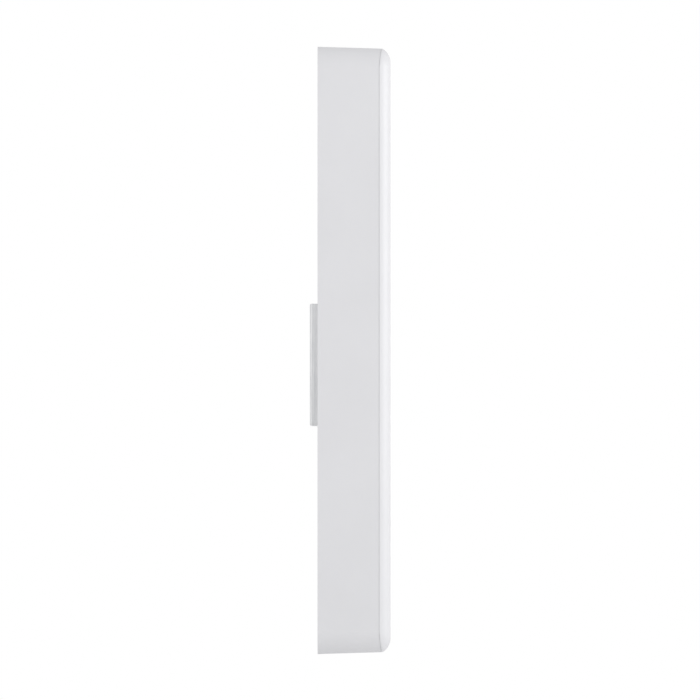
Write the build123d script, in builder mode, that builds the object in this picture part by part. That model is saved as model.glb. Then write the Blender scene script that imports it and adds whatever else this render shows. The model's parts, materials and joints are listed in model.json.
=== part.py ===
from build123d import *
from math import cos, radians, sin, sqrt, tan
import os

# Wall battery unit: a slim, tall home battery that hangs on a steel wall bracket.
#
# Frame: millimetres, +Z up, the front face looks along -Y and the wall is the plane y = 0.
# The origin is the centre of the bracket's four wall fixings, on the wall.
# A "depth" is a distance in front of the wall, so y = -depth.
# A "level" is a height above the middle of the housing, so z = unit_centre_z + level.

# ---------------------------------------------------------------- driving dimensions
unit_width = 755.0
unit_height = 1150.0
body_depth = 138.0
wall_gap = 15.0
unit_centre_z = 27.5
draft_angle = 1.7
corner_radius = 44.0
shell = 2.5
clearance = 0.1  # round a fastener in its hole

rear = wall_gap
front = wall_gap + body_depth

# front cover: the rolled edge is an arc that stops short of the sides and leaves a crease
crown_radius = 29.3
crown_overhang_x = 1.3
crown_overhang_z = 3.4
crown_start = 110.0
crease_depth = front - 20.8
seam_depth = crease_depth - 1.0
seam_swing = 5.0
seam_gap = 0.4
lip_start = 128.0
lip_insets = (2.9, 4.1)

# wall bracket
bracket_width = 560.0
bracket_height = 233.0
bracket_plate = 3.0
bracket_side_depth = 14.5
bracket_edge_depth = 10.0
fixing_spacing_x = 406.4
fixing_spacing_z = 190.0
fixing_radius = 4.5
hook_x = 150.0
hook_levels = (62.0, -58.0)
hook_width = 50.0
lug_pad_depth = 11.0
lug_screw_height = 28.0
lug_screw_offset = 14.0

# sealed chassis: a cast tray, lower right corner cut away for the wiring box
chassis_half_width = 352.0
chassis_top = 548.0
chassis_bottom = -470.0
chassis_wall = 3.0
chassis_corner = 26.0
chassis_floor = (21.0, 24.0)
notch_x = 262.0
notch_level = -150.0
flange_width = 12.0
flange_depth = (126.0, 129.0)
lid_depth = (130.0, 132.0)
lid_screw_inset = 4.5

# battery modules: prismatic cells in two columns of eleven, terminals forward
cell_width = 148.0
cell_height = 50.0
cell_pitch_x = 150.0
cell_pitch_z = 51.0
cell_rows = 11
cell_depth = (26.0, 124.0)
terminal_offset = 50.0
terminal_radius = 7.0
busbar_depth = (126.0, 128.0)
busbar_width = 18.0
module_x = 163.0
module_level = 238.0
side_plate = 4.0
end_plate = 8.0

# electronics
power_board_centre = (-60.0, -312.0)
power_board_size = (500.0, 270.0)
power_board_depth = (40.0, 42.0)
control_board_centre = (-240.0, -126.0)
control_board_size = (190.0, 78.0)
control_board_depth = (60.0, 61.6)
sink_centre = (-45.0, -290.0)
sink_size = (560.0, 300.0)
sink_depth = (132.0, 136.0)
fin_front = 146.0
fin_pitch = 13.0
fin_count = 39

# cooling fans, blowing up from the intake slots
fan_size = 80.0
fan_levels = (-532.0, -507.0)
fan_xs = (-190.0, 70.0)
fan_depth = 75.0
fan_bore = 38.0

# wiring box, on the right side behind a flush cover
box_x = (274.0, 364.0)
box_depth = (24.0, 121.5)
box_levels = (-566.0, -163.0)
box_wall = 3.0
box_floor = 8.0
access_depth = 75.0
access_level = -330.0
access_size = (92.0, 340.0)
access_corner = 12.0
cover_screw_offset = (39.0, 160.5)
conduit_radius = 16.2
conduit_x = 319.0
conduit_depths = (50.0, 98.0)
block_x = (277.0, 307.0)
block_levels = (-250.0, -200.0)
lever_depths = (48.0, 66.0, 84.0, 102.0)
lever_axis = (310.4, -206.0)
lever_width = 14.0
rail_level = -337.5
breaker_front = 339.0
toggle_axis_x = 341.0

# side controls
panel_level = -15.0
panel_size = (34.0, 236.0)
rocker_level = -60.0
rocker_axis_x = 371.92
rocker_tilt = 10.0
button_level = -104.0
light_level = 40.0
light_size = (6.0, 96.0)

os.makedirs("parts", exist_ok=True)


# ---------------------------------------------------------------- planes and shared shapes
def facing(depth, z=unit_centre_z):
    """Sketch plane parallel to the wall, facing the front: x to the right, y up."""
    return Plane(origin=(0, -depth, z), x_dir=(1, 0, 0), z_dir=(0, -1, 0))


def facing_wall(depth, z=unit_centre_z):
    """The same plane seen from the wall: x to the left, y up."""
    return Plane(origin=(0, -depth, z), x_dir=(-1, 0, 0), z_dir=(0, 1, 0))


def side_plane(x, z=unit_centre_z):
    """Sketch plane facing right: its x is the negative depth and its y the level."""
    return Plane(origin=(x, 0, z), x_dir=(0, 1, 0), z_dir=(1, 0, 0))


def level_plane(level):
    """Horizontal sketch plane at a level: x to the right, y is the negative depth."""
    return Plane.XY.offset(unit_centre_z + level)


def save(builder, name):
    """Label a finished piece and write it as its own STEP file."""
    builder.part.label = name
    export_step(builder.part, f"parts/{name}.step")


def spaced(start, end, count):
    """Evenly spaced values from start to end."""
    return [start + (end - start) * i / (count - 1) for i in range(count)]


def span(pair):
    return pair[1] - pair[0]


def middle(pair):
    return (pair[0] + pair[1]) / 2


def side_shrink(depth):
    """How far the drafted sides have drawn in at a depth."""
    return (depth - rear) * tan(radians(draft_angle))


def half_width(depth):
    return unit_width / 2 - side_shrink(depth)


def half_height(depth):
    return unit_height / 2 - side_shrink(depth)


def housing_outline(depth, inset, mode=Mode.ADD):
    """Rounded outline of the housing at a depth, drawn into the current sketch."""
    RectangleRounded(
        2 * (half_width(depth) - inset),
        2 * (half_height(depth) - inset),
        corner_radius - side_shrink(depth) - inset,
        mode=mode,
    )


def drafted_block(inset, start, end):
    """The housing's tapered outer form, taken in by an inset."""
    with BuildPart() as block:
        with BuildSketch(facing(start)):
            housing_outline(start, inset)
        extrude(amount=end - start, taper=draft_angle)
    return block.part


def crown_block(inset):
    """A slightly larger block whose front edges carry the rolled radius of the cover."""
    with BuildPart() as block:
        with BuildSketch(facing(crown_start)):
            RectangleRounded(
                2 * (half_width(crease_depth) + crown_overhang_x - inset),
                2 * (half_height(crease_depth) + crown_overhang_z - inset),
                corner_radius - side_shrink(crease_depth) + 2.0 - inset,
            )
        extrude(amount=front - inset - crown_start)
        fillet(block.faces().sort_by(Axis.Y)[0].edges(), radius=crown_radius - inset)
    return block.part


def cover_form(inset, start=crown_start):
    """The front cover's full form: drafted sides cut by the rolled edge."""
    with BuildPart() as form:
        add(drafted_block(inset, start, front + 5))
        add(crown_block(inset), mode=Mode.INTERSECT)
    return form.part


def ahead_of_seam(shift):
    """Everything in front of the seam, which runs straight up the sides and swings
    forward round the corners to follow the crease."""
    arc_start = half_height(crease_depth) - 40.0
    arc_end = half_height(crease_depth) + 0.5
    far_level = unit_height / 2 + 40
    far_depth = front + 30
    side = -(seam_depth + shift)
    top = side - seam_swing
    with BuildPart() as region:
        with BuildSketch(side_plane(-unit_width)):
            with BuildLine():
                Line((side, -arc_start), (side, arc_start))
                TangentArc((side, arc_start), (top, arc_end), tangent=(0, 1))
                Polyline(
                    (top, arc_end),
                    (top, far_level),
                    (-far_depth, far_level),
                    (-far_depth, -far_level),
                    (top, -far_level),
                    (top, -arc_end),
                )
                TangentArc((side, -arc_start), (top, -arc_end), tangent=(0, -1))
            make_face()
        extrude(amount=2 * unit_width)
    return region.part


def chassis_outline(grow=0.0):
    """L-shaped outline of the sealed chassis, grown evenly by a distance."""
    left = -chassis_half_width - grow
    right = chassis_half_width + grow
    top = chassis_top + grow
    bottom = chassis_bottom - grow
    step = (notch_x + grow, notch_level - grow)
    with BuildSketch(mode=Mode.PRIVATE) as outline:
        with BuildLine():
            Polyline(
                (left, bottom),
                (step[0], bottom),
                step,
                (right, step[1]),
                (right, top),
                (left, top),
                close=True,
            )
        make_face()
        by_step = outline.vertices().sort_by_distance((step[0], step[1], 0))
        fillet(by_step[0], radius=chassis_corner - grow)
        convex = [v for v in outline.vertices() if abs(v.X - step[0]) + abs(v.Y - step[1]) > 60]
        fillet(convex, radius=chassis_corner + grow)
    return outline.sketch


def pan_head_screw(radius, length, head_radius, head_height):
    """A round-headed screw with a hexagon socket: head up, shank down from the origin."""
    with BuildPart() as screw:
        with BuildSketch(Plane.XY):
            Circle(radius)
        extrude(amount=-length)
        with BuildSketch(Plane.XY):
            Circle(head_radius)
        extrude(amount=head_height)
        fillet(screw.edges().sort_by(Axis.Z)[-1], radius=head_height * 0.45)
        with BuildSketch(Plane.XY.offset(head_height)):
            RegularPolygon(head_radius * 0.45, 6)
        extrude(amount=-head_height * 0.6, mode=Mode.SUBTRACT)
    return screw.part


def countersunk_screw(radius, length, head_radius):
    """A flush screw: its flat head is level with the origin and its shank points down."""
    head_height = head_radius - radius
    with BuildPart() as screw:
        with BuildSketch(Plane.XY):
            Circle(radius)
        extrude(amount=-length)
        with BuildSketch(Plane.XY):
            Circle(head_radius)
        with BuildSketch(Plane.XY.offset(-head_height)):
            Circle(radius)
        loft()
        with BuildSketch(Plane.XY):
            RegularPolygon(radius * 0.7, 6)
        extrude(amount=-head_height * 0.8, mode=Mode.SUBTRACT)
    return screw.part


def side_slot(x, depth, level, size, length):
    """A round-ended block that runs to the right from x: size across the depth and up."""
    with BuildPart() as block:
        with BuildSketch(side_plane(x)):
            with Locations((-depth, level)):
                SlotOverall(size[1], size[0], rotation=90)
        extrude(amount=length)
    return block.part


def side_rectangle(x, depth, level, size, corner, length):
    """A rounded rectangular block that runs to the right from x."""
    with BuildPart() as block:
        with BuildSketch(side_plane(x)):
            with Locations((-depth, level)):
                RectangleRounded(size[0], size[1], corner)
        extrude(amount=length)
    return block.part


# ---------------------------------------------------------------- wall bracket
with BuildPart() as wall_bracket:
    # a folded tray whose top and bottom edges are lower than its sides
    with BuildSketch(facing(0, z=0)):
        Rectangle(bracket_width, bracket_height)
    extrude(amount=bracket_side_depth)
    fillet(wall_bracket.faces().sort_by(Axis.Y)[-1].edges(), radius=bracket_plate)
    with BuildSketch(facing(bracket_plate, z=0)):
        Rectangle(bracket_width - 2 * bracket_plate, bracket_height - 2 * bracket_plate)
    extrude(amount=bracket_side_depth, mode=Mode.SUBTRACT)
    with BuildSketch(facing(bracket_edge_depth, z=0)):
        with GridLocations(0, bracket_height, 1, 2):
            Rectangle(bracket_width - 12, 3 * bracket_plate)
    extrude(amount=bracket_side_depth, mode=Mode.SUBTRACT)
    # upturned hooks, each pressed from the plate and leaving a window behind it
    with BuildSketch(facing(0, z=0)):
        for hook_z in hook_levels:
            with Locations((-hook_x, hook_z - 10), (hook_x, hook_z - 10)):
                RectangleRounded(hook_width + 6, 34, 4)
    extrude(amount=bracket_plate, mode=Mode.SUBTRACT)
    for hook_z in hook_levels:
        for x in (-hook_x, hook_x):
            with BuildSketch(side_plane(x - hook_width / 2, z=hook_z)) as hook_profile:
                with BuildLine():
                    Polyline(
                        (0, -30),
                        (-10.5, -30),
                        (-10.5, -0.1),
                        (-7.5, -0.1),
                        (-7.5, -27),
                        (0, -27),
                        close=True,
                    )
                make_face()
                fillet(hook_profile.vertices().sort_by_distance((-10.5, -30, 0))[0], radius=4)
            extrude(amount=hook_width)
    # four round wall fixings, slots for other stud spacings, and lightening windows
    with BuildSketch(facing(0, z=0)):
        with GridLocations(fixing_spacing_x, fixing_spacing_z, 2, 2):
            Circle(fixing_radius)
        with GridLocations(245, fixing_spacing_z, 2, 2):
            SlotOverall(30, 9)
        with GridLocations(510, 120, 2, 2):
            SlotOverall(28, 9, rotation=90)
        RectangleRounded(150, 120, 10)
        with GridLocations(470, 0, 2, 1):
            RectangleRounded(40, 60, 8)
        with Locations((0, bracket_height / 2 - 12), (0, 12 - bracket_height / 2)):
            Circle(3.2)
    extrude(amount=bracket_plate, mode=Mode.SUBTRACT)
save(wall_bracket, "wall_bracket")

# four pressed lugs on the back of the chassis: their tongues drop behind the hooks
lug_screw_points = [
    (x + offset, hook_z + lug_screw_height)
    for hook_z in hook_levels
    for x in (-hook_x, hook_x)
    for offset in (-lug_screw_offset, lug_screw_offset)
]
with BuildPart() as hanging_lugs:
    for hook_z in hook_levels:
        for x in (-hook_x, hook_x):
            with BuildSketch(side_plane(x - hook_width / 2 + 2, z=hook_z)):
                with BuildLine():
                    Polyline(
                        (-15, 50),
                        (-15, 0),
                        (-6.8, 0),
                        (-6.8, -24),
                        (-3.8, -24),
                        (-3.8, 3),
                        (-lug_pad_depth, 3),
                        (-lug_pad_depth, 50),
                        close=True,
                    )
                make_face()
            extrude(amount=hook_width - 4)
    with Locations(facing_wall(lug_pad_depth, z=0)):
        with Locations([(-x, z) for x, z in lug_screw_points]):
            CounterSinkHole(3 + clearance, 6 + clearance, depth=6)
save(hanging_lugs, "hanging_lugs")

lug_screw = countersunk_screw(radius=3, length=12, head_radius=6)
with BuildPart() as lug_screws:
    with Locations(facing_wall(lug_pad_depth, z=0)):
        with Locations([(-x, z) for x, z in lug_screw_points]):
            add(lug_screw)
save(lug_screws, "lug_screws")

# ---------------------------------------------------------------- sealed chassis
lid_screw_points = (
    [(x, chassis_top + lid_screw_inset) for x in spaced(-300, 300, 7)]
    + [(-chassis_half_width - lid_screw_inset, w) for w in spaced(-420, 500, 9)]
    + [(chassis_half_width + lid_screw_inset, w) for w in spaced(-90, 500, 6)]
    + [(x, chassis_bottom - lid_screw_inset) for x in spaced(-300, 210, 6)]
    + [(notch_x + lid_screw_inset, w) for w in spaced(-420, -210, 3)]
    + [(308, notch_level - lid_screw_inset)]
)
ear_levels = (441.0, 208.0, -25.0)
ear_offset = 6.0
side_ear_points = [
    (side * (chassis_half_width + ear_offset), w) for w in ear_levels for side in (-1, 1)
]
side_ear_points.append((-chassis_half_width - ear_offset, -362))
top_ear_points = [(-150, chassis_top + ear_offset), (150, chassis_top + ear_offset)]
ear_points = side_ear_points + top_ear_points
module_bolt_points = [
    (side * module_x + x, w) for side in (-1, 1) for x in (-120, 120) for w in (535, -59)
]
module_ear_depth = (32.0, 40.0)

with BuildPart() as rear_chassis:
    with BuildSketch(facing(chassis_floor[0])):
        add(chassis_outline())
    extrude(amount=flange_depth[1] - chassis_floor[0])
    with BuildSketch(facing(chassis_floor[1])):
        add(chassis_outline(-chassis_wall))
    extrude(amount=flange_depth[1] - chassis_floor[1], mode=Mode.SUBTRACT)
    with BuildSketch(facing(flange_depth[0])):
        add(chassis_outline(flange_width))
        add(chassis_outline(-chassis_wall / 2), mode=Mode.SUBTRACT)
    extrude(amount=span(flange_depth))
    # screw bosses under the flange, and bosses on the floor for the battery modules
    with BuildSketch(facing(112)):
        with Locations(lid_screw_points):
            Circle(5.5)
    extrude(amount=flange_depth[0] - 112)
    with BuildSketch(facing(chassis_floor[0])):
        with Locations(module_bolt_points):
            Circle(8)
    extrude(amount=module_ear_depth[0] - chassis_floor[0])
    # stiffening ribs across the back, and a pad behind each hanging lug
    with BuildSketch(facing(rear + 2)):
        with Locations([(0, w) for w in spaced(-440, 528, 12) if w > notch_level]):
            Rectangle(2 * chassis_half_width - 40, 3)
        with Locations([((notch_x - chassis_half_width) / 2, w) for w in (-440, -352, -264, -176)]):
            Rectangle(chassis_half_width + notch_x - 40, 3)
        with Locations([(x, 40) for x in (-260, -60, 60)]):
            Rectangle(3, 930)
        with Locations((240, 180)):
            Rectangle(3, 640)
    extrude(amount=chassis_floor[0] - rear - 2)
    with BuildSketch(facing(rear, z=0)):
        for hook_z in hook_levels:
            with Locations((-hook_x, hook_z + 26), (hook_x, hook_z + 26)):
                RectangleRounded(58, 50, 6)
    extrude(amount=chassis_floor[0] - rear)
    # threaded holes
    with BuildSketch(facing(flange_depth[1])):
        with Locations(lid_screw_points):
            Circle(2 + clearance)
    extrude(amount=-15, mode=Mode.SUBTRACT)
    with BuildSketch(facing(flange_depth[1])):
        with Locations(ear_points):
            Circle(2 + clearance)
    extrude(amount=-span(flange_depth), mode=Mode.SUBTRACT)
    with BuildSketch(facing(rear, z=0)):
        with Locations(lug_screw_points):
            Circle(3 + clearance)
    extrude(amount=8.2, mode=Mode.SUBTRACT)
    with BuildSketch(facing(module_ear_depth[0])):
        with Locations(module_bolt_points):
            Circle(3 + clearance)
    extrude(amount=-9, mode=Mode.SUBTRACT)
save(rear_chassis, "rear_chassis")

with BuildPart() as lid_gasket:
    with BuildSketch(facing(flange_depth[1])):
        add(chassis_outline(2))
        add(chassis_outline(-chassis_wall + 0.2), mode=Mode.SUBTRACT)
    extrude(amount=lid_depth[0] - flange_depth[1])
    with BuildSketch(facing(flange_depth[1])):
        with Locations(lid_screw_points):
            Circle(2.4)
    extrude(amount=lid_depth[0] - flange_depth[1], mode=Mode.SUBTRACT)
save(lid_gasket, "lid_gasket")

sink_screw_points = [
    (sink_centre[0] + side * 268, sink_centre[1] + w) for side in (-1, 1) for w in (-130, 0, 130)
]
with BuildPart() as chassis_lid:
    with BuildSketch(facing(lid_depth[0])):
        add(chassis_outline(flange_width))
        with Locations(lid_screw_points):
            Circle(2 + clearance, mode=Mode.SUBTRACT)
        with Locations(sink_screw_points):
            Circle(2 + clearance, mode=Mode.SUBTRACT)
    extrude(amount=span(lid_depth))
    # raised panels over the two battery modules
    with BuildSketch(facing(lid_depth[1])):
        with Locations((-module_x, module_level), (module_x, module_level)):
            RectangleRounded(280, 540, 30)
    extrude(amount=span(lid_depth))
    with BuildSketch(facing(lid_depth[0])):
        with Locations((-module_x, module_level), (module_x, module_level)):
            RectangleRounded(276, 536, 28)
    extrude(amount=span(lid_depth), mode=Mode.SUBTRACT)
save(chassis_lid, "chassis_lid")

lid_screw = pan_head_screw(radius=2, length=16, head_radius=3.8, head_height=2.4)
with BuildPart() as lid_screws:
    with Locations(facing(lid_depth[1])):
        with Locations(lid_screw_points):
            add(lid_screw)
save(lid_screws, "lid_screws")

with BuildPart() as heat_sink:
    with BuildSketch(facing(sink_depth[0])):
        with Locations(sink_centre):
            RectangleRounded(sink_size[0], sink_size[1], 6)
        with Locations(sink_screw_points):
            Circle(2 + clearance, mode=Mode.SUBTRACT)
    extrude(amount=span(sink_depth))
    with BuildSketch(facing(sink_depth[1])):
        with Locations(sink_centre):
            with GridLocations(fin_pitch, 0, fin_count, 1):
                Rectangle(2, sink_size[1] - 8)
    extrude(amount=fin_front - sink_depth[1])
save(heat_sink, "heat_sink")

sink_screw = pan_head_screw(radius=2, length=6, head_radius=3.8, head_height=2.4)
with BuildPart() as heat_sink_screws:
    with Locations(facing(sink_depth[1])):
        with Locations(sink_screw_points):
            add(sink_screw)
save(heat_sink_screws, "heat_sink_screws")

# ---------------------------------------------------------------- battery modules
column_xs = [side * module_x + half * cell_pitch_x / 2 for side in (-1, 1) for half in (-1, 1)]
row_levels = [module_level + (i - (cell_rows - 1) / 2) * cell_pitch_z for i in range(cell_rows)]
outer_columns = (column_xs[0], column_xs[-1])


def free_end(x):
    """The terminal left free at the foot of a cell column: outward on the outer columns."""
    away = -1 if x < 0 else 1
    return away if x in outer_columns else -away


with BuildPart() as battery_cells:
    with BuildSketch(facing(cell_depth[0])):
        with Locations([(x, w) for x in column_xs for w in row_levels]):
            RectangleRounded(cell_width, cell_height, 3)
    extrude(amount=span(cell_depth))
save(battery_cells, "battery_cells")

with BuildPart() as cell_terminals:
    with BuildSketch(facing(cell_depth[1])):
        with Locations([(x + s, w) for x in column_xs for w in row_levels
                        for s in (-terminal_offset, terminal_offset)]):
            Circle(terminal_radius)
    extrude(amount=busbar_depth[0] - cell_depth[1])
save(cell_terminals, "cell_terminals")

with BuildPart() as busbars:
    with BuildSketch(facing(busbar_depth[0])):
        # links up each column of cells in series
        for x in column_xs:
            for i, w in enumerate(row_levels[:-1]):
                side = -free_end(x) if i % 2 == 0 else free_end(x)
                with Locations((x + side * terminal_offset, w + cell_pitch_z / 2)):
                    RectangleRounded(busbar_width, cell_pitch_z + busbar_width, 4)
        # links across the heads of the columns, and between the modules at the foot
        for side in (-1, 1):
            with Locations((side * module_x, row_levels[-1])):
                RectangleRounded(cell_pitch_x - 2 * terminal_offset + busbar_width, busbar_width, 4)
        with Locations((0, row_levels[0])):
            RectangleRounded(94, busbar_width, 4)
        # the two ends of the string run down past the modules
        with Locations((-288, row_levels[0] - 27), (288, row_levels[0] - 27)):
            RectangleRounded(busbar_width, 72, 4)
    extrude(amount=span(busbar_depth))
save(busbars, "busbars")

frame_width = cell_pitch_x + cell_width + 2 * side_plate
frame_height = cell_pitch_z * (cell_rows - 1) + cell_height + 2 * end_plate
with BuildPart() as module_frames:
    with BuildSketch(facing(cell_depth[0])):
        with Locations((-module_x, module_level), (module_x, module_level)):
            Rectangle(frame_width, frame_height)
            Rectangle(frame_width - 2 * side_plate, frame_height - 2 * end_plate, mode=Mode.SUBTRACT)
    extrude(amount=84)
    with BuildSketch(facing(module_ear_depth[0])):
        with Locations([(x, w + (-3 if w > 0 else 3)) for x, w in module_bolt_points]):
            RectangleRounded(24, 20, 4)
        with Locations(module_bolt_points):
            Circle(3 + clearance, mode=Mode.SUBTRACT)
        with Locations((-module_x, module_level), (module_x, module_level)):
            Rectangle(frame_width - 2 * side_plate, frame_height - 2 * end_plate, mode=Mode.SUBTRACT)
    extrude(amount=span(module_ear_depth))
save(module_frames, "module_frames")

module_bolt = pan_head_screw(radius=3, length=15, head_radius=5, head_height=4)
with BuildPart() as module_bolts:
    with Locations(facing(module_ear_depth[1])):
        with Locations(module_bolt_points):
            add(module_bolt)
save(module_bolts, "module_bolts")

with BuildPart() as thermal_pads:
    with BuildSketch(facing(chassis_floor[1])):
        with Locations([(x, module_level) for x in column_xs]):
            Rectangle(140, 552)
    extrude(amount=cell_depth[0] - chassis_floor[1])
save(thermal_pads, "thermal_pads")

with BuildPart() as sense_boards:
    with BuildSketch(facing(cell_depth[1])):
        with Locations((-module_x, module_level), (module_x, module_level)):
            RectangleRounded(28, 520, 2)
    extrude(amount=1.6)
save(sense_boards, "sense_boards")

# ---------------------------------------------------------------- power electronics
def board_holes(centre, size, inset=12.0):
    """Corner fixing points of a circuit board."""
    half = (size[0] / 2 - inset, size[1] / 2 - inset)
    return [(centre[0] + sx * half[0], centre[1] + sy * half[1]) for sx in (-1, 1) for sy in (-1, 1)]


with BuildPart() as power_board:
    with BuildSketch(facing(power_board_depth[0])):
        with Locations(power_board_centre):
            RectangleRounded(power_board_size[0], power_board_size[1], 4)
        with Locations(board_holes(power_board_centre, power_board_size)):
            Circle(1.6, mode=Mode.SUBTRACT)
    extrude(amount=span(power_board_depth))
save(power_board, "power_board")

with BuildPart() as control_board:
    with BuildSketch(facing(control_board_depth[0])):
        with Locations(control_board_centre):
            RectangleRounded(control_board_size[0], control_board_size[1], 3)
        with Locations(board_holes(control_board_centre, control_board_size, inset=6)):
            Circle(1.6, mode=Mode.SUBTRACT)
    extrude(amount=span(control_board_depth))
save(control_board, "control_board")

with BuildPart() as board_standoffs:
    for depths, points in (
        (power_board_depth, board_holes(power_board_centre, power_board_size)),
        (control_board_depth, board_holes(control_board_centre, control_board_size, inset=6)),
    ):
        with BuildSketch(facing(chassis_floor[1])):
            with Locations(points):
                RegularPolygon(4, 6)
        extrude(amount=depths[0] - chassis_floor[1])
        with BuildSketch(facing(depths[0])):
            with Locations(points):
                Circle(1.5)
        extrude(amount=span(depths))
        with BuildSketch(facing(depths[1])):
            with Locations(points):
                RegularPolygon(3.5, 6)
        extrude(amount=2.4)
save(board_standoffs, "board_standoffs")

with BuildPart() as capacitors:
    with BuildSketch(facing(power_board_depth[1])):
        with Locations((-235, power_board_centre[1])):
            with GridLocations(40, 56, 2, 4):
                Circle(17.5)
    extrude(amount=45)
    fillet(capacitors.faces().sort_by(Axis.Y)[:8].edges(), radius=1.5)
save(capacitors, "capacitors")

inductor_points = [(-130, -250), (-130, -350)]
with BuildPart() as inductor_cores:
    with BuildSketch(facing(46)):
        with Locations(inductor_points):
            Circle(34)
            Circle(17, mode=Mode.SUBTRACT)
    extrude(amount=26)
save(inductor_cores, "inductor_cores")

with BuildPart() as inductor_windings:
    with BuildSketch(facing(43.5)):
        with Locations(inductor_points):
            with PolarLocations(25.5, 26):
                Rectangle(22, 2.4)
    extrude(amount=31)
    with BuildSketch(facing(46)):
        with Locations(inductor_points):
            Circle(34)
            Circle(17, mode=Mode.SUBTRACT)
    extrude(amount=26, mode=Mode.SUBTRACT)
save(inductor_windings, "inductor_windings")

with BuildPart() as relays:
    with BuildSketch(facing(power_board_depth[1])):
        with Locations((120, -250)):
            with GridLocations(0, 34, 1, 4):
                RectangleRounded(32, 20, 1.5)
    extrude(amount=27)
save(relays, "relays")

spreader_depth = (122.0, lid_depth[0])
module_pitch = 78.0
with BuildPart() as heat_spreader:
    with BuildSketch(facing(spreader_depth[0])):
        with Locations((sink_centre[0], -300)):
            RectangleRounded(480, 60, 4)
    extrude(amount=span(spreader_depth))
    with BuildSketch(facing(spreader_depth[0])):
        with Locations(sink_screw_points):
            Circle(4)
    extrude(amount=span(spreader_depth))
save(heat_spreader, "heat_spreader")

with BuildPart() as power_modules:
    with BuildSketch(facing(110)):
        with Locations((sink_centre[0], -300)):
            with GridLocations(module_pitch, 0, 6, 1):
                RectangleRounded(60, 36, 2)
    extrude(amount=spreader_depth[0] - 110)
save(power_modules, "power_modules")

with BuildPart() as control_components:
    with BuildSketch(facing(control_board_depth[1])):
        with Locations(control_board_centre):
            with GridLocations(46, 0, 3, 1):
                RectangleRounded(24, 24, 1)
            with Locations((0, 28)):
                RectangleRounded(120, 12, 1)
            with Locations((-60, -26), (0, -26), (60, -26)):
                RectangleRounded(30, 10, 1)
    extrude(amount=4)
save(control_components, "control_components")

contactor_points = [(-90, -114), (-20, -114)]
with BuildPart() as contactors:
    with BuildSketch(facing(chassis_floor[1])):
        with Locations(contactor_points):
            RectangleRounded(58, 50, 4)
    extrude(amount=70)
    with BuildSketch(facing(chassis_floor[1] + 70)):
        for point in contactor_points:
            with Locations((point[0] - 15, point[1]), (point[0] + 15, point[1])):
                Circle(5)
    extrude(amount=8)
save(contactors, "contactors")

fuse_depth = 60.0
fuse_level = -114.0
with BuildPart() as main_fuse:
    with BuildSketch(Plane(origin=(50, -fuse_depth, unit_centre_z + fuse_level), z_dir=(1, 0, 0))):
        Circle(14)
    extrude(amount=80)
    for start in (46, 120):
        with BuildSketch(
            Plane(origin=(start, -fuse_depth, unit_centre_z + fuse_level), z_dir=(1, 0, 0))
        ):
            Circle(16)
        extrude(amount=14)
    with BuildSketch(facing(chassis_floor[1])):
        with Locations((56, fuse_level), (124, fuse_level)):
            Rectangle(12, 22)
    extrude(amount=fuse_depth - chassis_floor[1])
save(main_fuse, "main_fuse")

cable_radius = 4.5


def cable(points, bend):
    """A round cable along straight runs joined by arcs, from (x, depth, level) points."""
    route = [(x, -depth, unit_centre_z + level) for x, depth, level in points]
    with BuildPart() as tube:
        with BuildLine() as path:
            FilletPolyline(route, radius=bend)
        with BuildSketch(path.line ^ 0):
            Circle(cable_radius)
        sweep(path=path.line)
    return tube.part


foot = row_levels[0] - 54
with BuildPart() as dc_cables:
    fuse_route = [
        (-288, 126, foot),
        (-288, 108, foot),
        (-105, 108, foot),
        (-105, 108, -114),
        (-105, 102, -114),
    ]
    contactor_route = [(288, 126, foot), (288, 60, foot), (288, 60, -114), (134, 60, -114)]
    add(cable(fuse_route, 5.5))
    add(cable(contactor_route, 12))
save(dc_cables, "dc_cables")

# ---------------------------------------------------------------- side shroud
rim_width = 10.0
ledge_depth = (122.0, 124.5)
ear_depth = (122.0, 126.0)
ear_width = 26.0
slot_size = (70.0, 5.0)
slot_pitch = 10.0

with BuildPart() as side_shroud:
    add(drafted_block(0, rear, front - 10))
    add(drafted_block(shell, rear - 1, front - 9), mode=Mode.SUBTRACT)
    add(ahead_of_seam(-seam_gap / 2), mode=Mode.SUBTRACT)
    # turned-in rim round the back, and a ledge inside that stiffens the front edge
    for start, thickness, inner in ((rear, shell, rim_width), (ledge_depth[0], shell, rim_width)):
        with BuildSketch(facing(start)):
            housing_outline(start, 1.2)
            housing_outline(start, inner, mode=Mode.SUBTRACT)
        extrude(amount=thickness)
    # ears that reach in under the chassis flange
    with BuildSketch(facing(ear_depth[0])):
        for x, w in side_ear_points:
            side = 1 if x > 0 else -1
            with Locations((side * (chassis_half_width + 10.5), w)):
                Rectangle(19, ear_width)
        for x, w in top_ear_points:
            with Locations((x, w + 4.5)):
                Rectangle(ear_width, 19)
        with Locations(ear_points):
            Circle(2 + clearance, mode=Mode.SUBTRACT)
    extrude(amount=span(ear_depth))
    # intake slots under the fans and the two conduit holes, in the floor
    with BuildSketch(level_plane(-unit_height / 2 - 5)):
        for x in fan_xs:
            with Locations((x, -fan_depth)):
                with GridLocations(0, slot_pitch, 1, 8):
                    SlotOverall(slot_size[0], slot_size[1])
        with Locations([(conduit_x, -depth) for depth in conduit_depths]):
            Circle(19)
    extrude(amount=16, mode=Mode.SUBTRACT)
    # openings for the wiring cover and the control panel, in the right side
    add(
        side_rectangle(366, access_depth, access_level, access_size, access_corner, 20),
        mode=Mode.SUBTRACT,
    )
    add(side_slot(366, fan_depth, panel_level, (panel_size[0] + 0.6, panel_size[1] + 0.6), 20),
        mode=Mode.SUBTRACT)
save(side_shroud, "side_shroud")

shroud_screw = pan_head_screw(radius=2, length=6.8, head_radius=3.6, head_height=2.4)
with BuildPart() as shroud_screws:
    with Locations(facing_wall(ear_depth[0])):
        with Locations([(-x, w) for x, w in ear_points]):
            add(shroud_screw)
save(shroud_screws, "shroud_screws")

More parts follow.
